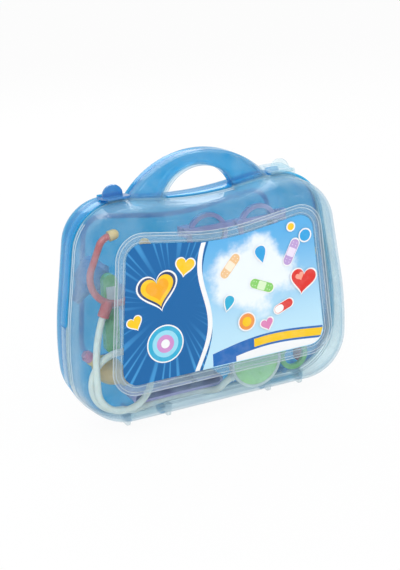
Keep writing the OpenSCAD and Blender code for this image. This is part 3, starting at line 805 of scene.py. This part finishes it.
@dataclass
class CaseShell:
    """One half of the case: hollow wall, lip band, face bead and half of the handle."""

    side: Side
    depth: float = 43.5
    wall: float = 2.0
    card_gap: float = 0.06
    half_gap: float = 0.15
    draft: float = 4.0
    round_side: float = 17.0
    round_deep: float = 24.0
    rim_break: float = 0.35
    core_in: tuple[float, float] = (0.3, 1.7)
    core_deep: tuple[float, float] = (0.5, 3.6)
    lip_out: float = 1.7
    lip_sunk: float = 0.8
    lip_deep: float = 7.0
    lip_reach: float = 5.0
    lip_play: float = 0.3
    rear_lip_from: tuple[float, float] = (39.0, 101.4)
    front_lip: tuple[float, float] = (48.0, 100.6)
    grip_feet: tuple[float, float] = (31.0, 69.0)
    bead_out: float = 4.0
    bead_wide: float = 4.5
    bead_high: float = 1.2
    bead_sunk: float = 0.6
    grip_top: float = 236.0
    grip_foot: float = 200.0
    grip_radius: float = 84.0
    hole_foot: float = 193.5
    hole_radius: float = 36.0
    grip_bar: float = 14.0
    grip_half: float = 10.5
    grip_round: float = 4.5
    grip_wall: float = 1.8
    # thin ridges whose pale colour is a painted highlight: depths beside the lip, then offsets
    # round the card
    highlight_deep: tuple[float, ...] = (6.2, 9.4)
    highlight_radius: float = 0.42
    frame_highlight_out: tuple[float, ...] = (2.0, 6.5, 9.1)
    frame_highlight_radius: float = 0.32
    outline: Outline = field(default_factory=lambda: Outline([
        (-129.8, 11, 46), (129.8, 11, 46), (132.6, 85, 300), (114.6, 203, 43), (66, 203, 90),
        (0, 194, 300), (-66, 203, 90), (-114.6, 203, 43), (-132.6, 85, 300)]).dense(4.0))
    card: Outline = field(default_factory=lambda: Outline([
        (-99.3, 52.3, 14), (99.3, 52.3, 14), (86.9, 176.6, 14), (0, 163.8, 200),
        (-86.9, 176.6, 14)]).dense(5.0))

    @property
    def lean(self) -> float:
        """How far the drafted side leans inwards for each millimetre of depth."""
        return math.tan(math.radians(self.draft))

    def turned(self, grid: np.ndarray) -> np.ndarray:
        """A front grid, mirrored in depth for the rear half."""
        return grid * np.array([1.0, -float(self.side.value), 1.0])

    def wall_grid(self) -> tuple[np.ndarray, int]:
        """Rows of the hollow wall from outer rim over the rounding to the face and back inside.

        The outer section is a drafted side, then a quarter of an ellipse; the inner one is the
        outer one moved in square to itself by the wall's thickness.

        Returns:
            The grid and the number of the last outer row.
        """
        end = self.depth - self.round_deep
        g = np.radians(np.linspace(0.0, 90.0, 16))
        curve = np.column_stack([self.lean * end + self.round_side * (1 - np.cos(g)),
                                 end + (self.round_deep - self.card_gap) * np.sin(g)])
        way = unit(np.column_stack([np.cos(g) / self.round_side, -np.sin(g) / self.round_deep]))
        side_y = np.array([self.half_gap, self.half_gap + 0.5, 8.0, 14.0])
        side = np.column_stack([side_y * self.lean, side_y])
        rim = np.array([[self.rim_break, 0.0], [0, 0], [0, 0], [0, 0]])
        rows = np.vstack([side + rim, curve, (curve + self.wall * way)[::-1],
                          (side + [self.wall, 0.0])[::-1]])
        return self.turned(self.outline.band(rows * -1.0)), len(side) + len(curve) - 1

    def bow(self, top: float, radius: float, foot: float) -> np.ndarray:
        """Points (x, z) over the top of a circle, from the foot's height to the same height."""
        g = math.acos((foot - top + radius) / radius) * np.linspace(-1.0, 1.0, 73)
        return np.column_stack([radius * np.sin(g), top - radius * (1 - np.cos(g))])

    def grip_grid(self) -> np.ndarray:
        """Rows of the handle's channel from its left foot to its right foot.

        Each row joins a point of the hand hole's circle to one of the outer circle; the section
        between them is a channel with rounded corners, open towards the seam.

        Returns:
            The grid.
        """
        outer = self.bow(self.grip_top, self.grip_radius, self.grip_foot)
        inner = self.bow(self.grip_top - self.grip_bar, self.hole_radius, self.hole_foot)
        near = self.channel(self.grip_round, 0.0)
        far = self.channel(self.grip_round - self.grip_wall, self.grip_wall)
        flag, along, deep = np.hstack([near, far[:, ::-1]])
        s = flag * np.linalg.norm(outer - inner, axis=1)[:, None] + along
        x, z = np.moveaxis(inner[:, None] + unit(outer - inner)[:, None] * s[..., None], -1, 0)
        return self.turned(np.stack([x, np.broadcast_to(deep, s.shape), z], axis=-1))

    def channel(self, r: float, w: float) -> np.ndarray:
        """Half a channel section.

        Args:
            r: radius of its corners.
            w: how far it lies inside the outer section.

        Returns:
            Rows of which circle a point hangs from, its offset from there and its depth.
        """
        g = np.radians(np.linspace(0.0, 90.0, 8))
        seam, floor = [-self.half_gap], r + w - self.grip_half
        return np.stack([
            np.repeat([0.0, 1.0], len(g) + 1),
            np.concatenate([[w], w + r - r * np.cos(g), -w - r + r * np.sin(g), [-w]]),
            np.concatenate([seam, floor - r * np.sin(g), floor - r * np.cos(g), seam])])

    def lip_section(self, reach: float) -> np.ndarray:
        """Section of the lip band, (out, y), for the rear half, overlapping the other by reach.

        Args:
            reach: the overlap, nought for none.

        Returns:
            The section's points.
        """
        low, play = -self.lip_sunk, self.lip_play
        end = [(play, -reach), (play, 1), (low, 1)] if reach else [(low, 0.2)]
        edge = -reach if reach else 0.2
        return rounded([(low, self.lip_deep), (self.lip_out, self.lip_deep), (self.lip_out, edge),
                        *end], 0.5)

    def lips(self, form: Form) -> Form:
        """Adds the runs of the lip to a form; it passes the handle's feet without its overlap.

        The rear half's lip goes down to one height on the right and to another on the left,
        where the front half's lip goes on below it.

        Args:
            form: the form that they go to.

        Returns:
            The same form.
        """
        x, z = self.outline.points.T
        inner, outer = self.grip_feet
        high = z > 187.0
        foot = high & (abs(x) > inner) & (abs(x) < outer)
        if self.side is Side.REAR:
            right, left = self.rear_lip_from
            runs = [(keep & ~foot, self.lip_reach) for keep in (
                (x > 60) & (z > right), (abs(x) < inner) & high, (x < -60) & (z > left))]
            runs += [((x > 20) & foot, 0.0), ((x < -20) & foot, 0.0)]
        else:
            low, top = self.front_lip
            runs = [((x < 0) & (z > low) & (z < top), self.lip_reach)]
        for keep, reach in runs:
            grid = self.outline.run(keep, self.lip_section(reach))
            form.grid(grid * np.array([1.0, float(self.side.value), 1.0]), caps=True)
        return form

    def bead_section(self) -> np.ndarray:
        """Half round section of the bead, (out, y), its foot sunk in the face.

        Returns:
            The section's points.
        """
        g = np.radians(np.linspace(0.0, 180.0, 11))
        half, foot = self.bead_wide / 2, self.bead_sunk - self.depth
        dome = np.column_stack([self.bead_out + half * np.cos(g),
                                -self.depth - self.bead_high * np.sin(g) ** 0.7])
        return np.vstack([dome, [[self.bead_out - half, foot], [self.bead_out + half, foot]]])

    def frame_section(self) -> np.ndarray:
        """Section of the card's frame, (out, y): outer step, bead, groove and low inner rib.

        Returns:
            The section's points.
        """
        g = np.radians(np.linspace(0.0, 180.0, 9))
        bead = np.column_stack([4.2 + 2.1 * np.cos(g), 1.15 * np.sin(g) ** 0.7 + 0.05])
        rib = np.column_stack([1.2 + 0.75 * np.cos(g), 0.65 * np.sin(g) ** 0.8 + 0.05])
        step = [[9.2, -0.12], [8.9, 0.22], [7.2, 0.26], [6.8, 0.05]]
        top = np.vstack([step, bead, rib, [[0.45, -0.12], [9.2, -0.12]]])
        return top * [1.0, -1.0] - [0.0, self.depth]

    def rim_core(self, name: str, finish: Finish) -> Pieces:
        """Makes the dense core that shows in the wall's thickness all along the seam.

        Args:
            name: the piece's name.
            finish: its finish.

        Returns:
            The piece.
        """
        (out, inside), (near, far) = self.core_in, self.core_deep
        section = rounded([(-out, -near), (-inside, -near), (-inside, -far), (-out, -far)], 0.4)
        core = Form().grid(self.turned(self.outline.band(section)), wrap_rows=True)
        return [core.object(name, finish, self.side.body, self.side.slot)]

    def steps(self) -> Pieces:
        """Makes thin ridges, two on the wall beside the lip and three round the card, in a pale
        colour that is a painted highlight.

        Returns:
            The two pieces.
        """
        x, z = self.outline.points.T
        steps, edges = Form(), Form()
        for keep in ((z < 185) | (abs(x) > 108), (abs(x) < self.grip_feet[0]) & (z > 150)):
            for deep in self.highlight_deep:
                section = arc((-deep * self.lean, -deep), self.highlight_radius, 0, 315, 8)
                steps.grid(self.turned(self.outline.run(keep, section)), caps=True)
        for out in self.frame_highlight_out:
            section = arc((out, -self.depth - 0.1), self.frame_highlight_radius, 0, 315, 8)
            edges.grid(self.turned(self.card.band(section)), wrap_rows=True)
        # the pale finish of both pieces is a painted highlight
        return [form.object(name, Finish.EDGE, self.side.body, self.side.slot)
                for form, name in ((steps, "wall_highlight_rods"), (edges, "frame_highlight_rods"))]

    def label_frame(self) -> Pieces:
        """Makes the frosted double frame that is moulded round the card on the front face.

        Returns:
            The piece.
        """
        border = Form().grid(self.turned(self.card.band(self.frame_section())), wrap_rows=True)
        return [border.object("label_frame", Finish.FROST, self.side.body, self.side.slot,
                              smooth=50)]

    def build(self, name: str, finish: Finish) -> Pieces:
        """Makes the shell as one piece standing for its CAD node, the rear lip apart from it.

        Args:
            name: the shell's name.
            finish: its finish.

        Returns:
            The pieces, the shell last.
        """
        grid, last = self.wall_grid()
        rows, cols = grid.shape[:2]
        ends = np.arange(cols)
        nxt = (ends + 1) % cols
        rim = np.stack([(rows - 1) * cols + ends, (rows - 1) * cols + nxt, nxt, ends], axis=-1)
        form = Form().add(grid, [
            *grid_faces(last + 1, cols, False),
            *grid_faces(rows - last - 1, cols, False, (last + 1) * cols),
            *rim.tolist(), (last * cols + ends).tolist(), ((last + 1) * cols + ends).tolist()])
        form.grid(self.grip_grid(), caps=True)
        rides = self.side.body, self.side.slot, self.side.node
        pieces = []
        if self.side is Side.REAR:
            form.grid(self.turned(self.card.band(self.bead_section())), wrap_rows=True)
            pieces.append(self.lips(Form()).object("rear_lip", Finish.LIP_BLUE, *rides))
        else:
            self.lips(form)
        return [*pieces, form.object(name, finish, *rides)]


@dataclass
class CaseFittings:
    """Hinge plates, bar, latch socket and catch of one shell half, and the rests on the rear wall.

    A plate is (x, height, whether it is a hook); a catch is its far and near side from the latch's
    pivot and its slope in degrees; a post is (x, z, depth in the wall, depth of its end).
    """

    side: Side
    axis_z: float = 5.0
    eye: float = 5.0
    bar: float = 2.3
    bore: float = 2.35
    plate: float = 3.0
    mouth: float = 3.4
    knuckle: float = 1.28
    socket_half: float = 11.0
    catch_half: float = 6.0
    post_radius: float = 2.5
    plates: dict = field(default_factory=lambda: {
        Side.FRONT: ((-82.5, 13, False), (-43.1, 13, False), (59.3, 13, True), (93.0, 15, True)),
        Side.REAR: ((-79.2, 13, True), (-46.4, 13, True), (56.0, 13, False), (96.3, 15, False))})
    pivots: dict = field(default_factory=lambda: {
        Side.FRONT: (79.5, -9.0, 206.0), Side.REAR: (-79.5, 3.6, 206.0)})
    catches: dict = field(default_factory=lambda: {
        Side.FRONT: (12.8, 9.2, 6.0), Side.REAR: (21.4, 17.4, 4.0)})
    posts: tuple = ((-57.8, 84.7, 42, 14), (-83.3, 103.9, 42, 14), (-39, 86.6, 42, 14),
                    (19, 128.3, 42, 20), (71, 128.3, 42, 20), (-22, 98.6, 42, 20),
                    (29.3, 38, 42, -11.6), (74.9, 17.8, 36, -11.6))
    block: tuple = ((27.0, 38.0), (31.6, 38.0), (31.6, 48.9), (27.0, 48.9))
    block_deep: tuple[float, float] = (-11.6, -8.1)
    edge_round: float = 0.35

    def plate_view(self, top: float, hook: bool) -> np.ndarray:
        """Side view (y, z) of a hinge plate; a hook has its bore open through the eye.

        Args:
            top: its height.
            hook: whether it is a hook.

        Returns:
            The view's points.
        """
        centre = (0.0, self.axis_z)
        eye = arc(centre, self.eye, 270, 90, 24)
        if hook:
            half = self.mouth / 2
            g, b = (math.degrees(math.asin(half / r)) for r in (self.eye, self.bore))
            eye = np.vstack([arc(centre, self.eye, 270, 180 + g, 12),
                             arc(centre, self.bore, 180 + b, 540 - b, 24),
                             arc(centre, self.eye, 180 - g, 90, 12)])
        foot = [(13, top), (10.3, 3.4), (9.6, 1.4), (8.2, 0.3), (6.8, 0.0)]
        return np.vstack([foot, eye, [(0.15, top)]]) * [self.side.value, 1.0]

    def socket_view(self) -> np.ndarray:
        """Side view (y, z) of the rear half's socket round the latch's knuckle, about its pivot."""
        r = self.knuckle
        return np.vstack([[(-2, -6), (r + 2.1, -6), (r + 2.1, 1.2), (r + 1.1, r + 0.9),
                           (0.14, r + 0.9)], arc((0, 0), r, 84, -148, 26), [(-2, -0.72)]])

    def catch_view(self) -> np.ndarray:
        """Side view (y, z) of the catch for the other half's latch, about that latch's pivot.

        Returns:
            The view's points.
        """
        far, near, slope = self.catches[self.side]
        high = far * math.tan(math.radians(slope)) - 0.8 - 0.35
        return np.array([(-near, -5.5), (-near, high - 0.8), (-near - 1, high), (-far, high),
                         (-far, -5.5)])

    def build(self, name: str, finish: Finish) -> Pieces:
        """Makes the plates, the bar, the own latch's socket and the other latch's catch.

        Args:
            name: the piece's name.
            finish: its finish.

        Returns:
            The piece.
        """
        form, side = Form(), self.side
        plates, half = self.plates[side], self.plate / 2
        for x, top, hook in plates:
            form.prism(self.plate_view(top, hook), x - half, x + half)
        form.prism(arc((0, self.axis_z), self.bar, 0, 345, 24),
                   *(x for x, _, hook in plates if not hook))
        for view, sign, at, half in (
                (self.socket_view(), side.value, self.pivots[side], self.socket_half),
                (self.catch_view(), -side.value, self.pivots[Side(-side.value)], self.catch_half)):
            form.prism(view * [sign, 1.0] + at[1:], at[0] - half, at[0] + half)
        if side is Side.REAR:
            for post in self.posts:
                form.post(*post, self.post_radius)
            form.plate(np.array(self.block), *self.block_deep)
        return [form.object(name, finish, side.body, side.slot, side.node,
                            bevel=self.edge_round, smooth=35.0)]


# Tubes and bulb


@dataclass
class ListeningTube:
    """Soft tube of the stethoscope: from the headset's yoke, 450 degrees round, to the disc."""

    radius: float = 3.0
    yoke: Point = (-97.0, -18.0, 121.0)
    lean: float = 24.0
    yoke_end: float = 13.15
    fall: tuple = ((-106.9, -19.5, 98.4), (-111.5, -23, 86), (-115, -27, 70))
    turn_centre: tuple[float, float] = (-91.0, 50.0)
    turn_from: float = 180.0
    turn_by: float = 450.0
    turn_radius: float = 25.0
    turn_widens: float = 3.0
    turn_deep: tuple[float, float] = (-29.0, 10.0)
    along: tuple = ((-80, -17, 18.3), (-66, -12, 17.6), (-40, -8, 17.6), (-14, -10, 17.8),
                    (-3, -15.5, 18.2), (2, -21.5, 21.4), (6, -24.3, 26.4))
    disc: Point = (36.0, -24.5, 42.5)
    disc_way: Point = (-0.883, 0.0, -0.469)
    disc_reach: float = 27.55

    def route(self) -> np.ndarray:
        """Points of the middle line: a drop, a widening turn, then a run along the floor.

        Returns:
            The points.
        """
        g = math.radians(self.lean)
        way = np.array([-math.sin(g), 0.0, -math.cos(g)])
        start = np.array(self.yoke) + self.yoke_end * way
        s = np.linspace(0.0, 1.0, 61)
        a = np.radians(self.turn_from + self.turn_by * s)
        r = self.turn_radius + self.turn_widens * s
        turns = np.column_stack([self.turn_centre[0] + r * np.cos(a),
                                 self.turn_deep[0] + self.turn_deep[1] * s,
                                 self.turn_centre[1] + r * np.sin(a)])
        end = np.array(self.disc) + np.array(self.disc_way) * self.disc_reach
        first = spline(np.vstack([start, start + 3 * way, self.fall, turns[:1]]), 6)
        last = spline(np.vstack([turns[-1:], self.along, end]), 6)
        return np.vstack([first[:-1], turns[:-1], last])

    def build(self) -> Pieces:
        """Returns:
            The piece.
        """
        path = self.route()
        tube = Form().grid(sweep(path, self.radius, 16), caps=True).object(
            "listening_hose", Finish.TUBE, "rear_case", "tube_white", "listening_tube")
        return [tube]


@dataclass
class CuffPump:
    """Squeeze bulb of the cuff and its short tube to the gauge."""

    centre: Point = (-95.0, -2.0, 54.0)
    tilt: float = -42.0
    belly_radius: float = 21.0
    belly_past: float = 9.0
    groove: float = 0.12
    neck_ends: tuple[float, float] = (22.3, 25.5)
    tube_radius: float = 2.3
    tube_turns: tuple = ((-73.4, -4, 37.4), (-72.9, -6.8, 42.4), (-71.6, -8.3, 47.6))
    gauge: Point = (-67.05, -8.5, 50.2)
    gauge_entry: float = 1.2

    def profile(self) -> np.ndarray:
        """Half outline of the bulb, (radius, along): a flat bellied ball with a neck at each end.

        The belly is a circle about a point beyond the axis, grooved by a cosine.

        Returns:
            The points.
        """
        a = np.radians(np.linspace(-42.0, 42.0, 41))
        belly = np.column_stack([self.belly_radius * np.cos(a) - self.belly_past
                                 - self.groove * np.cos(a * 60), self.belly_radius * np.sin(a)])
        return np.vstack([[[0, -21], [5.0, -21], [5.5, -20.5], [5.5, -15.4]], belly,
                          [[5.0, 15.6], [5.0, 21.5], [4.5, 22], [0, 22]]])

    def build(self) -> Pieces:
        """Makes the bulb and its tube.

        Returns:
            The two pieces.
        """
        bulb = Form().grid(lathe(self.profile(), self.centre, self.tilt, 40)).object(
            "squeeze_bulb", Finish.CREAM, "rear_case", "soft_cream", "pump_bulb", smooth=50)
        g, centre, gauge = math.radians(self.tilt), np.array(self.centre), np.array(self.gauge)
        way = np.array([math.cos(g), 0.0, math.sin(g)])
        path = spline(np.vstack([*(centre + end * way for end in self.neck_ends),
                                 self.tube_turns, gauge - [self.gauge_entry, 0, 0]]), 8)
        tube = Form().grid(sweep(np.vstack([path, gauge]), self.tube_radius, 16), caps=True)
        return [bulb, tube.object("cuff_hose", Finish.TUBE, "rear_case", "tube_white", "cuff_tube")]


# Printed card


WHITE_INK: Colour = (0.88, 0.89, 0.90)
YELLOW_INK: Colour = (0.92, 0.58, 0.01)
AMBER_INK: Colour = (0.90, 0.40, 0.01)
NAVY_INK: Colour = (0.02, 0.05, 0.16)
RED_INK: Colour = (0.72, 0.03, 0.02)
BLUE_INK: Colour = (0.03, 0.36, 0.74)
TEAL_INK: Colour = (0.03, 0.42, 0.66)


def placed(outline: np.ndarray, x: float, z: float, turn: float) -> np.ndarray:
    """An outline turned by degrees and set at a place."""
    c, s = math.cos(math.radians(turn)), math.sin(math.radians(turn))
    return outline @ np.array([[c, s], [-s, c]]) + np.array([x, z])


def capsule(length: float, width: float, radius: float | None = None) -> np.ndarray:
    """A bar with rounded ends, or with corners of a smaller radius.

    Args:
        length: its whole length.
        width: its width.
        radius: its corners' radius, half the width if left out.

    Returns:
        The outline.
    """
    r = width / 2 - 0.01 if radius is None else radius
    a, b = length / 2 - r, width / 2 - r
    return np.vstack([arc((a * i, b * j), r, start, start + 90, 9) for i, j, start in (
        (1, 1, 0), (-1, 1, 90), (-1, -1, 180), (1, -1, 270))])


def strip(x: np.ndarray, top: np.ndarray, foot: np.ndarray) -> np.ndarray:
    """The outline between two lines over x, kept on the card.

    It stays above the card's foot, its round lower right corner and inside its leaning side.

    Args:
        x: the places.
        top: the upper line's heights.
        foot: the lower line's heights.

    Returns:
        The outline.
    """
    side, low, right, radius, lean = 84.0, 53.0, 97.6, 13.0, 0.0985
    outline = np.vstack([np.column_stack([x, top]), np.column_stack([x, foot])[::-1]])
    x, z = outline.T
    corner = radius - np.sqrt(radius ** 2 - np.clip(x - side, 0.0, radius) ** 2)
    z = np.maximum(z, low + corner)
    return np.column_stack([np.minimum(x, right - (z - low - radius).clip(0) * lean), z])


@dataclass
class CardPrint:
    """Printed motifs on the card: hearts, plasters, drops, discs and bands, as thin ink shapes."""

    face: float = -43.86
    step: float = 0.012
    form: Form = field(default_factory=Form)
    inks: list[Colour] = field(default_factory=list)

    def ink(self, outline: np.ndarray, colour: Colour) -> None:
        """Adds one flat shape, (x, z), in a colour, a step in front of those before it.

        Args:
            outline: its points.
            colour: its colour.
        """
        self.inks.append(colour)
        points = at_depth(outline, self.face - self.step * len(self.inks))
        self.form.add(points, [list(range(self.form.count, self.form.count + len(outline)))])

    def motifs(self, rows: list[tuple]) -> None:
        """Adds motifs: outline, x, z, size, turn, colour and the width of a white margin.

        Args:
            rows: a row for each motif.
        """
        for outline, x, z, size, turn, colour, margin in rows:
            points = outline * size
            if margin:
                wider = points + unit(points - points.mean(axis=0)) * margin
                self.ink(placed(wider, x, z, turn), WHITE_INK)
            self.ink(placed(points, x, z, turn), colour)

    def plaster(self, x: float, z: float, turn: float, colour: Colour, pad: Colour) -> None:
        """Adds a sticking plaster with its pad and air holes.

        Args:
            x: its middle.
            z: its middle.
            turn: its turn in degrees.
            colour: the strip's colour.
            pad: the pad's colour.
        """
        self.motifs([(capsule(24, 8.4), x, z, 1.0, turn, colour, 1.3),
                     (capsule(8, 7.6, 1.2), x, z, 1.0, turn, pad, 0)])
        for i in (-9.0, -6.4, 6.4, 9.0):
            for j in (-1.8, 1.8):
                hole = placed(np.array([[i, j]]), x, z, turn)[0]
                self.ink(arc(tuple(hole), 0.45, 0, 330, 12), pad)

    def bands(self) -> None:
        """Adds the wavy white divider and the blue, yellow and white bands at the right foot."""
        z = np.linspace(52.6, 166.2, 60)
        wave = -20 + 7.0 * np.sin((z - 60) / 19.0) + (z - 110) * 0.12
        self.ink(np.vstack([np.column_stack([wave - 2.2, z]),
                            np.column_stack([wave + 2.2, z])[::-1]]), WHITE_INK)
        x = np.linspace(-14.0, 97.0, 50)
        crest = 66 + 5.0 * np.sin((x + 10) / 30.0) + x * 0.05
        foot = np.full(len(x), 53.0)
        for first, top, low, colour in ((0, crest, foot, (0.012, 0.14, 0.47)),
                                        (18, crest - 2, crest - 9.5, YELLOW_INK),
                                        (10, crest - 11.5, foot, WHITE_INK)):
            self.ink(strip(x[first:], top[first:], low[first:]), colour)

    def build(self) -> Pieces:
        """Draws all the motifs and makes them one piece on the card.

        The heart is the usual sum of cosines of one angle against the cube of its sine; the
        drop is a sine narrowed towards its tip by the root of the half angle's sine cubed.

        Returns:
            The piece.
        """
        t = np.radians(np.linspace(0, 360, 60, endpoint=False))
        heart = np.column_stack([16 * np.sin(t) ** 3, 13 * np.cos(t) - 5 * np.cos(2 * t)
                                 - 2 * np.cos(3 * t) - np.cos(4 * t)]) / 16
        drop = np.column_stack([np.sin(t) * np.sin(t / 2) ** 1.5 * 0.9, -np.cos(t)])
        disc = np.column_stack([np.cos(t), np.sin(t)])
        self.bands()
        self.motifs([
            (heart, -62, 133, 17.5, 8, NAVY_INK, 1.6), (heart, -62, 133, 15.0, 8, YELLOW_INK, 0),
            (heart, -62, 133.4, 10.5, 8, AMBER_INK, 0),
            (heart, -36, 149, 8.5, -14, YELLOW_INK, 1.2),
            (heart, -84.5, 108, 6.5, 20, YELLOW_INK, 1.0),
            *((disc, -58, 84, radius, 0, colour, 0) for radius, colour in (
                (17, WHITE_INK), (15.8, TEAL_INK), (12, (0.30, 0.70, 0.86)),
                (8, (0.62, 0.28, 0.60)), (4, WHITE_INK)))])
        self.plaster(6, 141, 48, (0.86, 0.55, 0.28), (0.96, 0.83, 0.66))
        self.plaster(36, 118, -24, (0.24, 0.62, 0.14), (0.70, 0.88, 0.58))
        self.plaster(66, 143, 62, (0.50, 0.34, 0.66), (0.82, 0.74, 0.90))
        self.motifs([
            (drop, 36, 146, 8.0, 12, BLUE_INK, 1.3), (drop, 3, 108, 7.0, -20, TEAL_INK, 1.3),
            (capsule(19, 8), 57, 95, 1.0, 20, RED_INK, 1.3),
            (capsule(9, 7.0), 52.5, 93.4, 1.0, 20, (0.94, 0.94, 0.92), 0),
            (heart, 77.5, 116, 12.5, -10, RED_INK, 1.5),
            (heart, 74.0, 119.5, 4.2, 20, (0.92, 0.36, 0.26), 0),
            (disc, 20, 88, 7.5, 0, (0.86, 0.30, 0.06), 1.3), (disc, 20, 88, 4.4, 0, YELLOW_INK, 0),
            (heart, 40, 82, 6.0, 14, (0.72, 0.22, 0.46), 1.3),
            (disc, 80, 156, 5.2, 0, BLUE_INK, 1.3), (disc, 66, 166, 3.2, 0, YELLOW_INK, 1.3)])
        piece = self.form.object("card_motifs", Finish.INK, "front_case", "card", outward=False)
        ink = piece.data.color_attributes.new("ink", "FLOAT_COLOR", "CORNER")
        counts = np.array([p.loop_total for p in piece.data.polygons])
        colours = np.column_stack([np.array(self.inks), np.ones(len(self.inks))])
        ink.data.foreach_set("color", np.repeat(colours, counts, axis=0).ravel())
        return [piece]


# Dressing the CAD nodes


NODE_FINISH: dict[str, Finish] = {name: finish for finish, names in (
    (Finish.LATCH_BLUE, "rear_latch"),
    (Finish.SHELL_CLEAR, "front_latch"),
    (Finish.CARD, "label_card"),
    (Finish.CORAL, "headset gauge_needle syringe_plunger hammer_handle"),
    (Finish.CREAM, "ear_tip_left ear_tip_right pump_bulb syringe_seal"),
    (Finish.TUBE, "listening_tube cuff_tube"),
    (Finish.WHITE, "chest_disc gauge_face thermometer_window scissors_pin"),
    (Finish.MINT, "chest_membrane kidney_dish"),
    (Finish.LILAC, "arm_cuff gauge_case spectacle_frame temple_left temple_right"),
    (Finish.PINK, "pump_valve"),
    (Finish.SYRINGE, "syringe_barrel"),
    (Finish.GREEN, "thermometer scissors_lower scissors_upper"),
    (Finish.BLUE, "scope_body scope_cone"),
    (Finish.YELLOW, "hammer_head"),
    (Finish.LENS, "spectacle_lenses"),
) for name in names.split()}


def dress_nodes() -> None:
    """Gives each kept CAD node its finish."""
    for name, finish in NODE_FINISH.items():
        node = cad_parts[name]
        for slot in node.material_slots:
            slot.material = finish.get()
        if not node.material_slots:
            node.data.materials.append(finish.get())
    LOG.info("dressed %d nodes", len(NODE_FINISH))


# Studio


@dataclass
class Studio:
    """Camera at the photograph's place, soft lamps, pale floor and white surroundings.

    A lamp is its name, its place and its side in metres, and its power in watts.
    """

    azimuth: float = 25.5
    elevation: float = 18.6
    distance: float = 1063.0
    roll: float = -2.84
    offset: tuple[float, float] = (1.8, 2.0)
    focal_pixels: float = 1200.0
    high_pixels: float = 570.0
    sensor: float = 36.0
    target: Point = (0.0, 0.0, 115.0)
    floor_half: float = 6.0
    lamps: tuple = (("key", (-0.9, -1.3, 1.5), 1.0, 19.0), ("fill", (1.4, -0.9, 1.0), 1.2, 10.0),
                    ("back", (0.2, 1.3, 1.2), 1.2, 13.0))

    def camera(self) -> None:
        """Makes the camera: it looks along the azimuth and down by the elevation, then rolls."""
        a, e, r = (math.radians(v) for v in (self.azimuth, self.elevation, self.roll))
        ahead = Vector((math.sin(a) * math.cos(e), math.cos(a) * math.cos(e), -math.sin(e)))
        right = Vector((math.cos(a), -math.sin(a), 0.0))
        up = right.cross(ahead)
        right, up = (right * math.cos(r) + up * math.sin(r), up * math.cos(r) - right * math.sin(r))
        place = (Vector(self.target) - ahead * self.distance - right * self.offset[0]
                 - up * self.offset[1])
        data = bpy.data.cameras.new("photo_camera")
        data.sensor_fit = "VERTICAL"
        data.sensor_height = self.sensor
        data.lens = self.focal_pixels * self.sensor / self.high_pixels
        data.clip_end = 20.0
        turn = Matrix((right, up, -ahead)).transposed().to_4x4()
        place = Matrix.Translation(place * MM) @ turn
        bpy.context.scene.camera = linked("photo_camera", data, place)

    def lamp(self, name: str, place: Point, size: float, power: float) -> None:
        """Adds a square soft lamp that points at the case.

        Args:
            name: the lamp's name.
            place: its place in metres.
            size: its side in metres.
            power: its power in watts.
        """
        data = bpy.data.lights.new(name, "AREA")
        data.size = size
        data.energy = power
        turn = (Vector(place) - Vector((0.0, 0.0, 0.1))).to_track_quat("Z", "Y").to_matrix()
        linked(name, data, Matrix.Translation(place) @ turn.to_4x4())

    def floor(self) -> None:
        """Adds the floor, pale to the camera and to reflections, which keeps the case's shadow."""
        h = self.floor_half
        data = bpy.data.meshes.new("floor")
        data.from_pydata([(-h, -h, 0), (h, -h, 0), (h, h, 0), (-h, h, 0)], [], [(0, 1, 2, 3)])
        material, tree = new_material("floor_pale")
        plain = tree.add("ShaderNodeBsdfDiffuse", {}, {"Color": (0.86, 0.86, 0.86, 1.0)})
        glow = tree.add("ShaderNodeEmission", {}, {"Color": (1.0, 1.0, 1.0, 1.0), "Strength": 1.0})
        share = tree.seen() * 0.95
        tree.finish(tree.add("ShaderNodeMixShader", {}, {0: share, 1: plain, 2: glow}))
        data.materials.append(material)
        linked("floor", data)

    def world(self) -> None:
        """White to the camera, to gloss and through clear plastic; a plain grey light elsewhere."""
        world = bpy.data.worlds.new("studio")
        bpy.context.scene.world = world
        tree = NodeTree(world)
        tree.finish(tree.add("ShaderNodeBackground", {}, {
            "Color": (1.0, 1.0, 1.0, 1.0), "Strength": tree.seen(0.6) * 0.45 + 0.55}), "World")

    def build(self) -> None:
        """Sets the stage."""
        bpy.context.scene.view_settings.view_transform = "Standard"
        self.camera()
        self.floor()
        self.world()
        for lamp in self.lamps:
            self.lamp(*lamp)


def main() -> None:
    """Builds the case, dresses its tools and sets the studio."""
    logging.basicConfig(level=logging.INFO, format="%(name)s: %(message)s")
    Studio().build()
    rear, front = CaseShell(Side.REAR), CaseShell(Side.FRONT)
    for piece in (*rear.build("rear_blue_shell", Finish.SHELL_BLUE),
                  *rear.rim_core("rear_rim", Finish.RIM_BLUE),
                  *front.rim_core("front_rim", Finish.RIM_CLEAR),
                  *front.build("front_clear_shell", Finish.SHELL_CLEAR),
                  *front.label_frame(),
                  *front.steps(),
                  *CaseFittings(Side.REAR).build("rear_fittings", Finish.SHELL_BLUE),
                  *CaseFittings(Side.FRONT).build("front_fittings", Finish.SHELL_CLEAR),
                  *ListeningTube().build(),
                  *CuffPump().build(),
                  *CardPrint().build()):
        LOG.info("made %s, %d faces", piece.name, len(piece.data.polygons))
    dress_nodes()


if __name__ == "__main__":
    main()
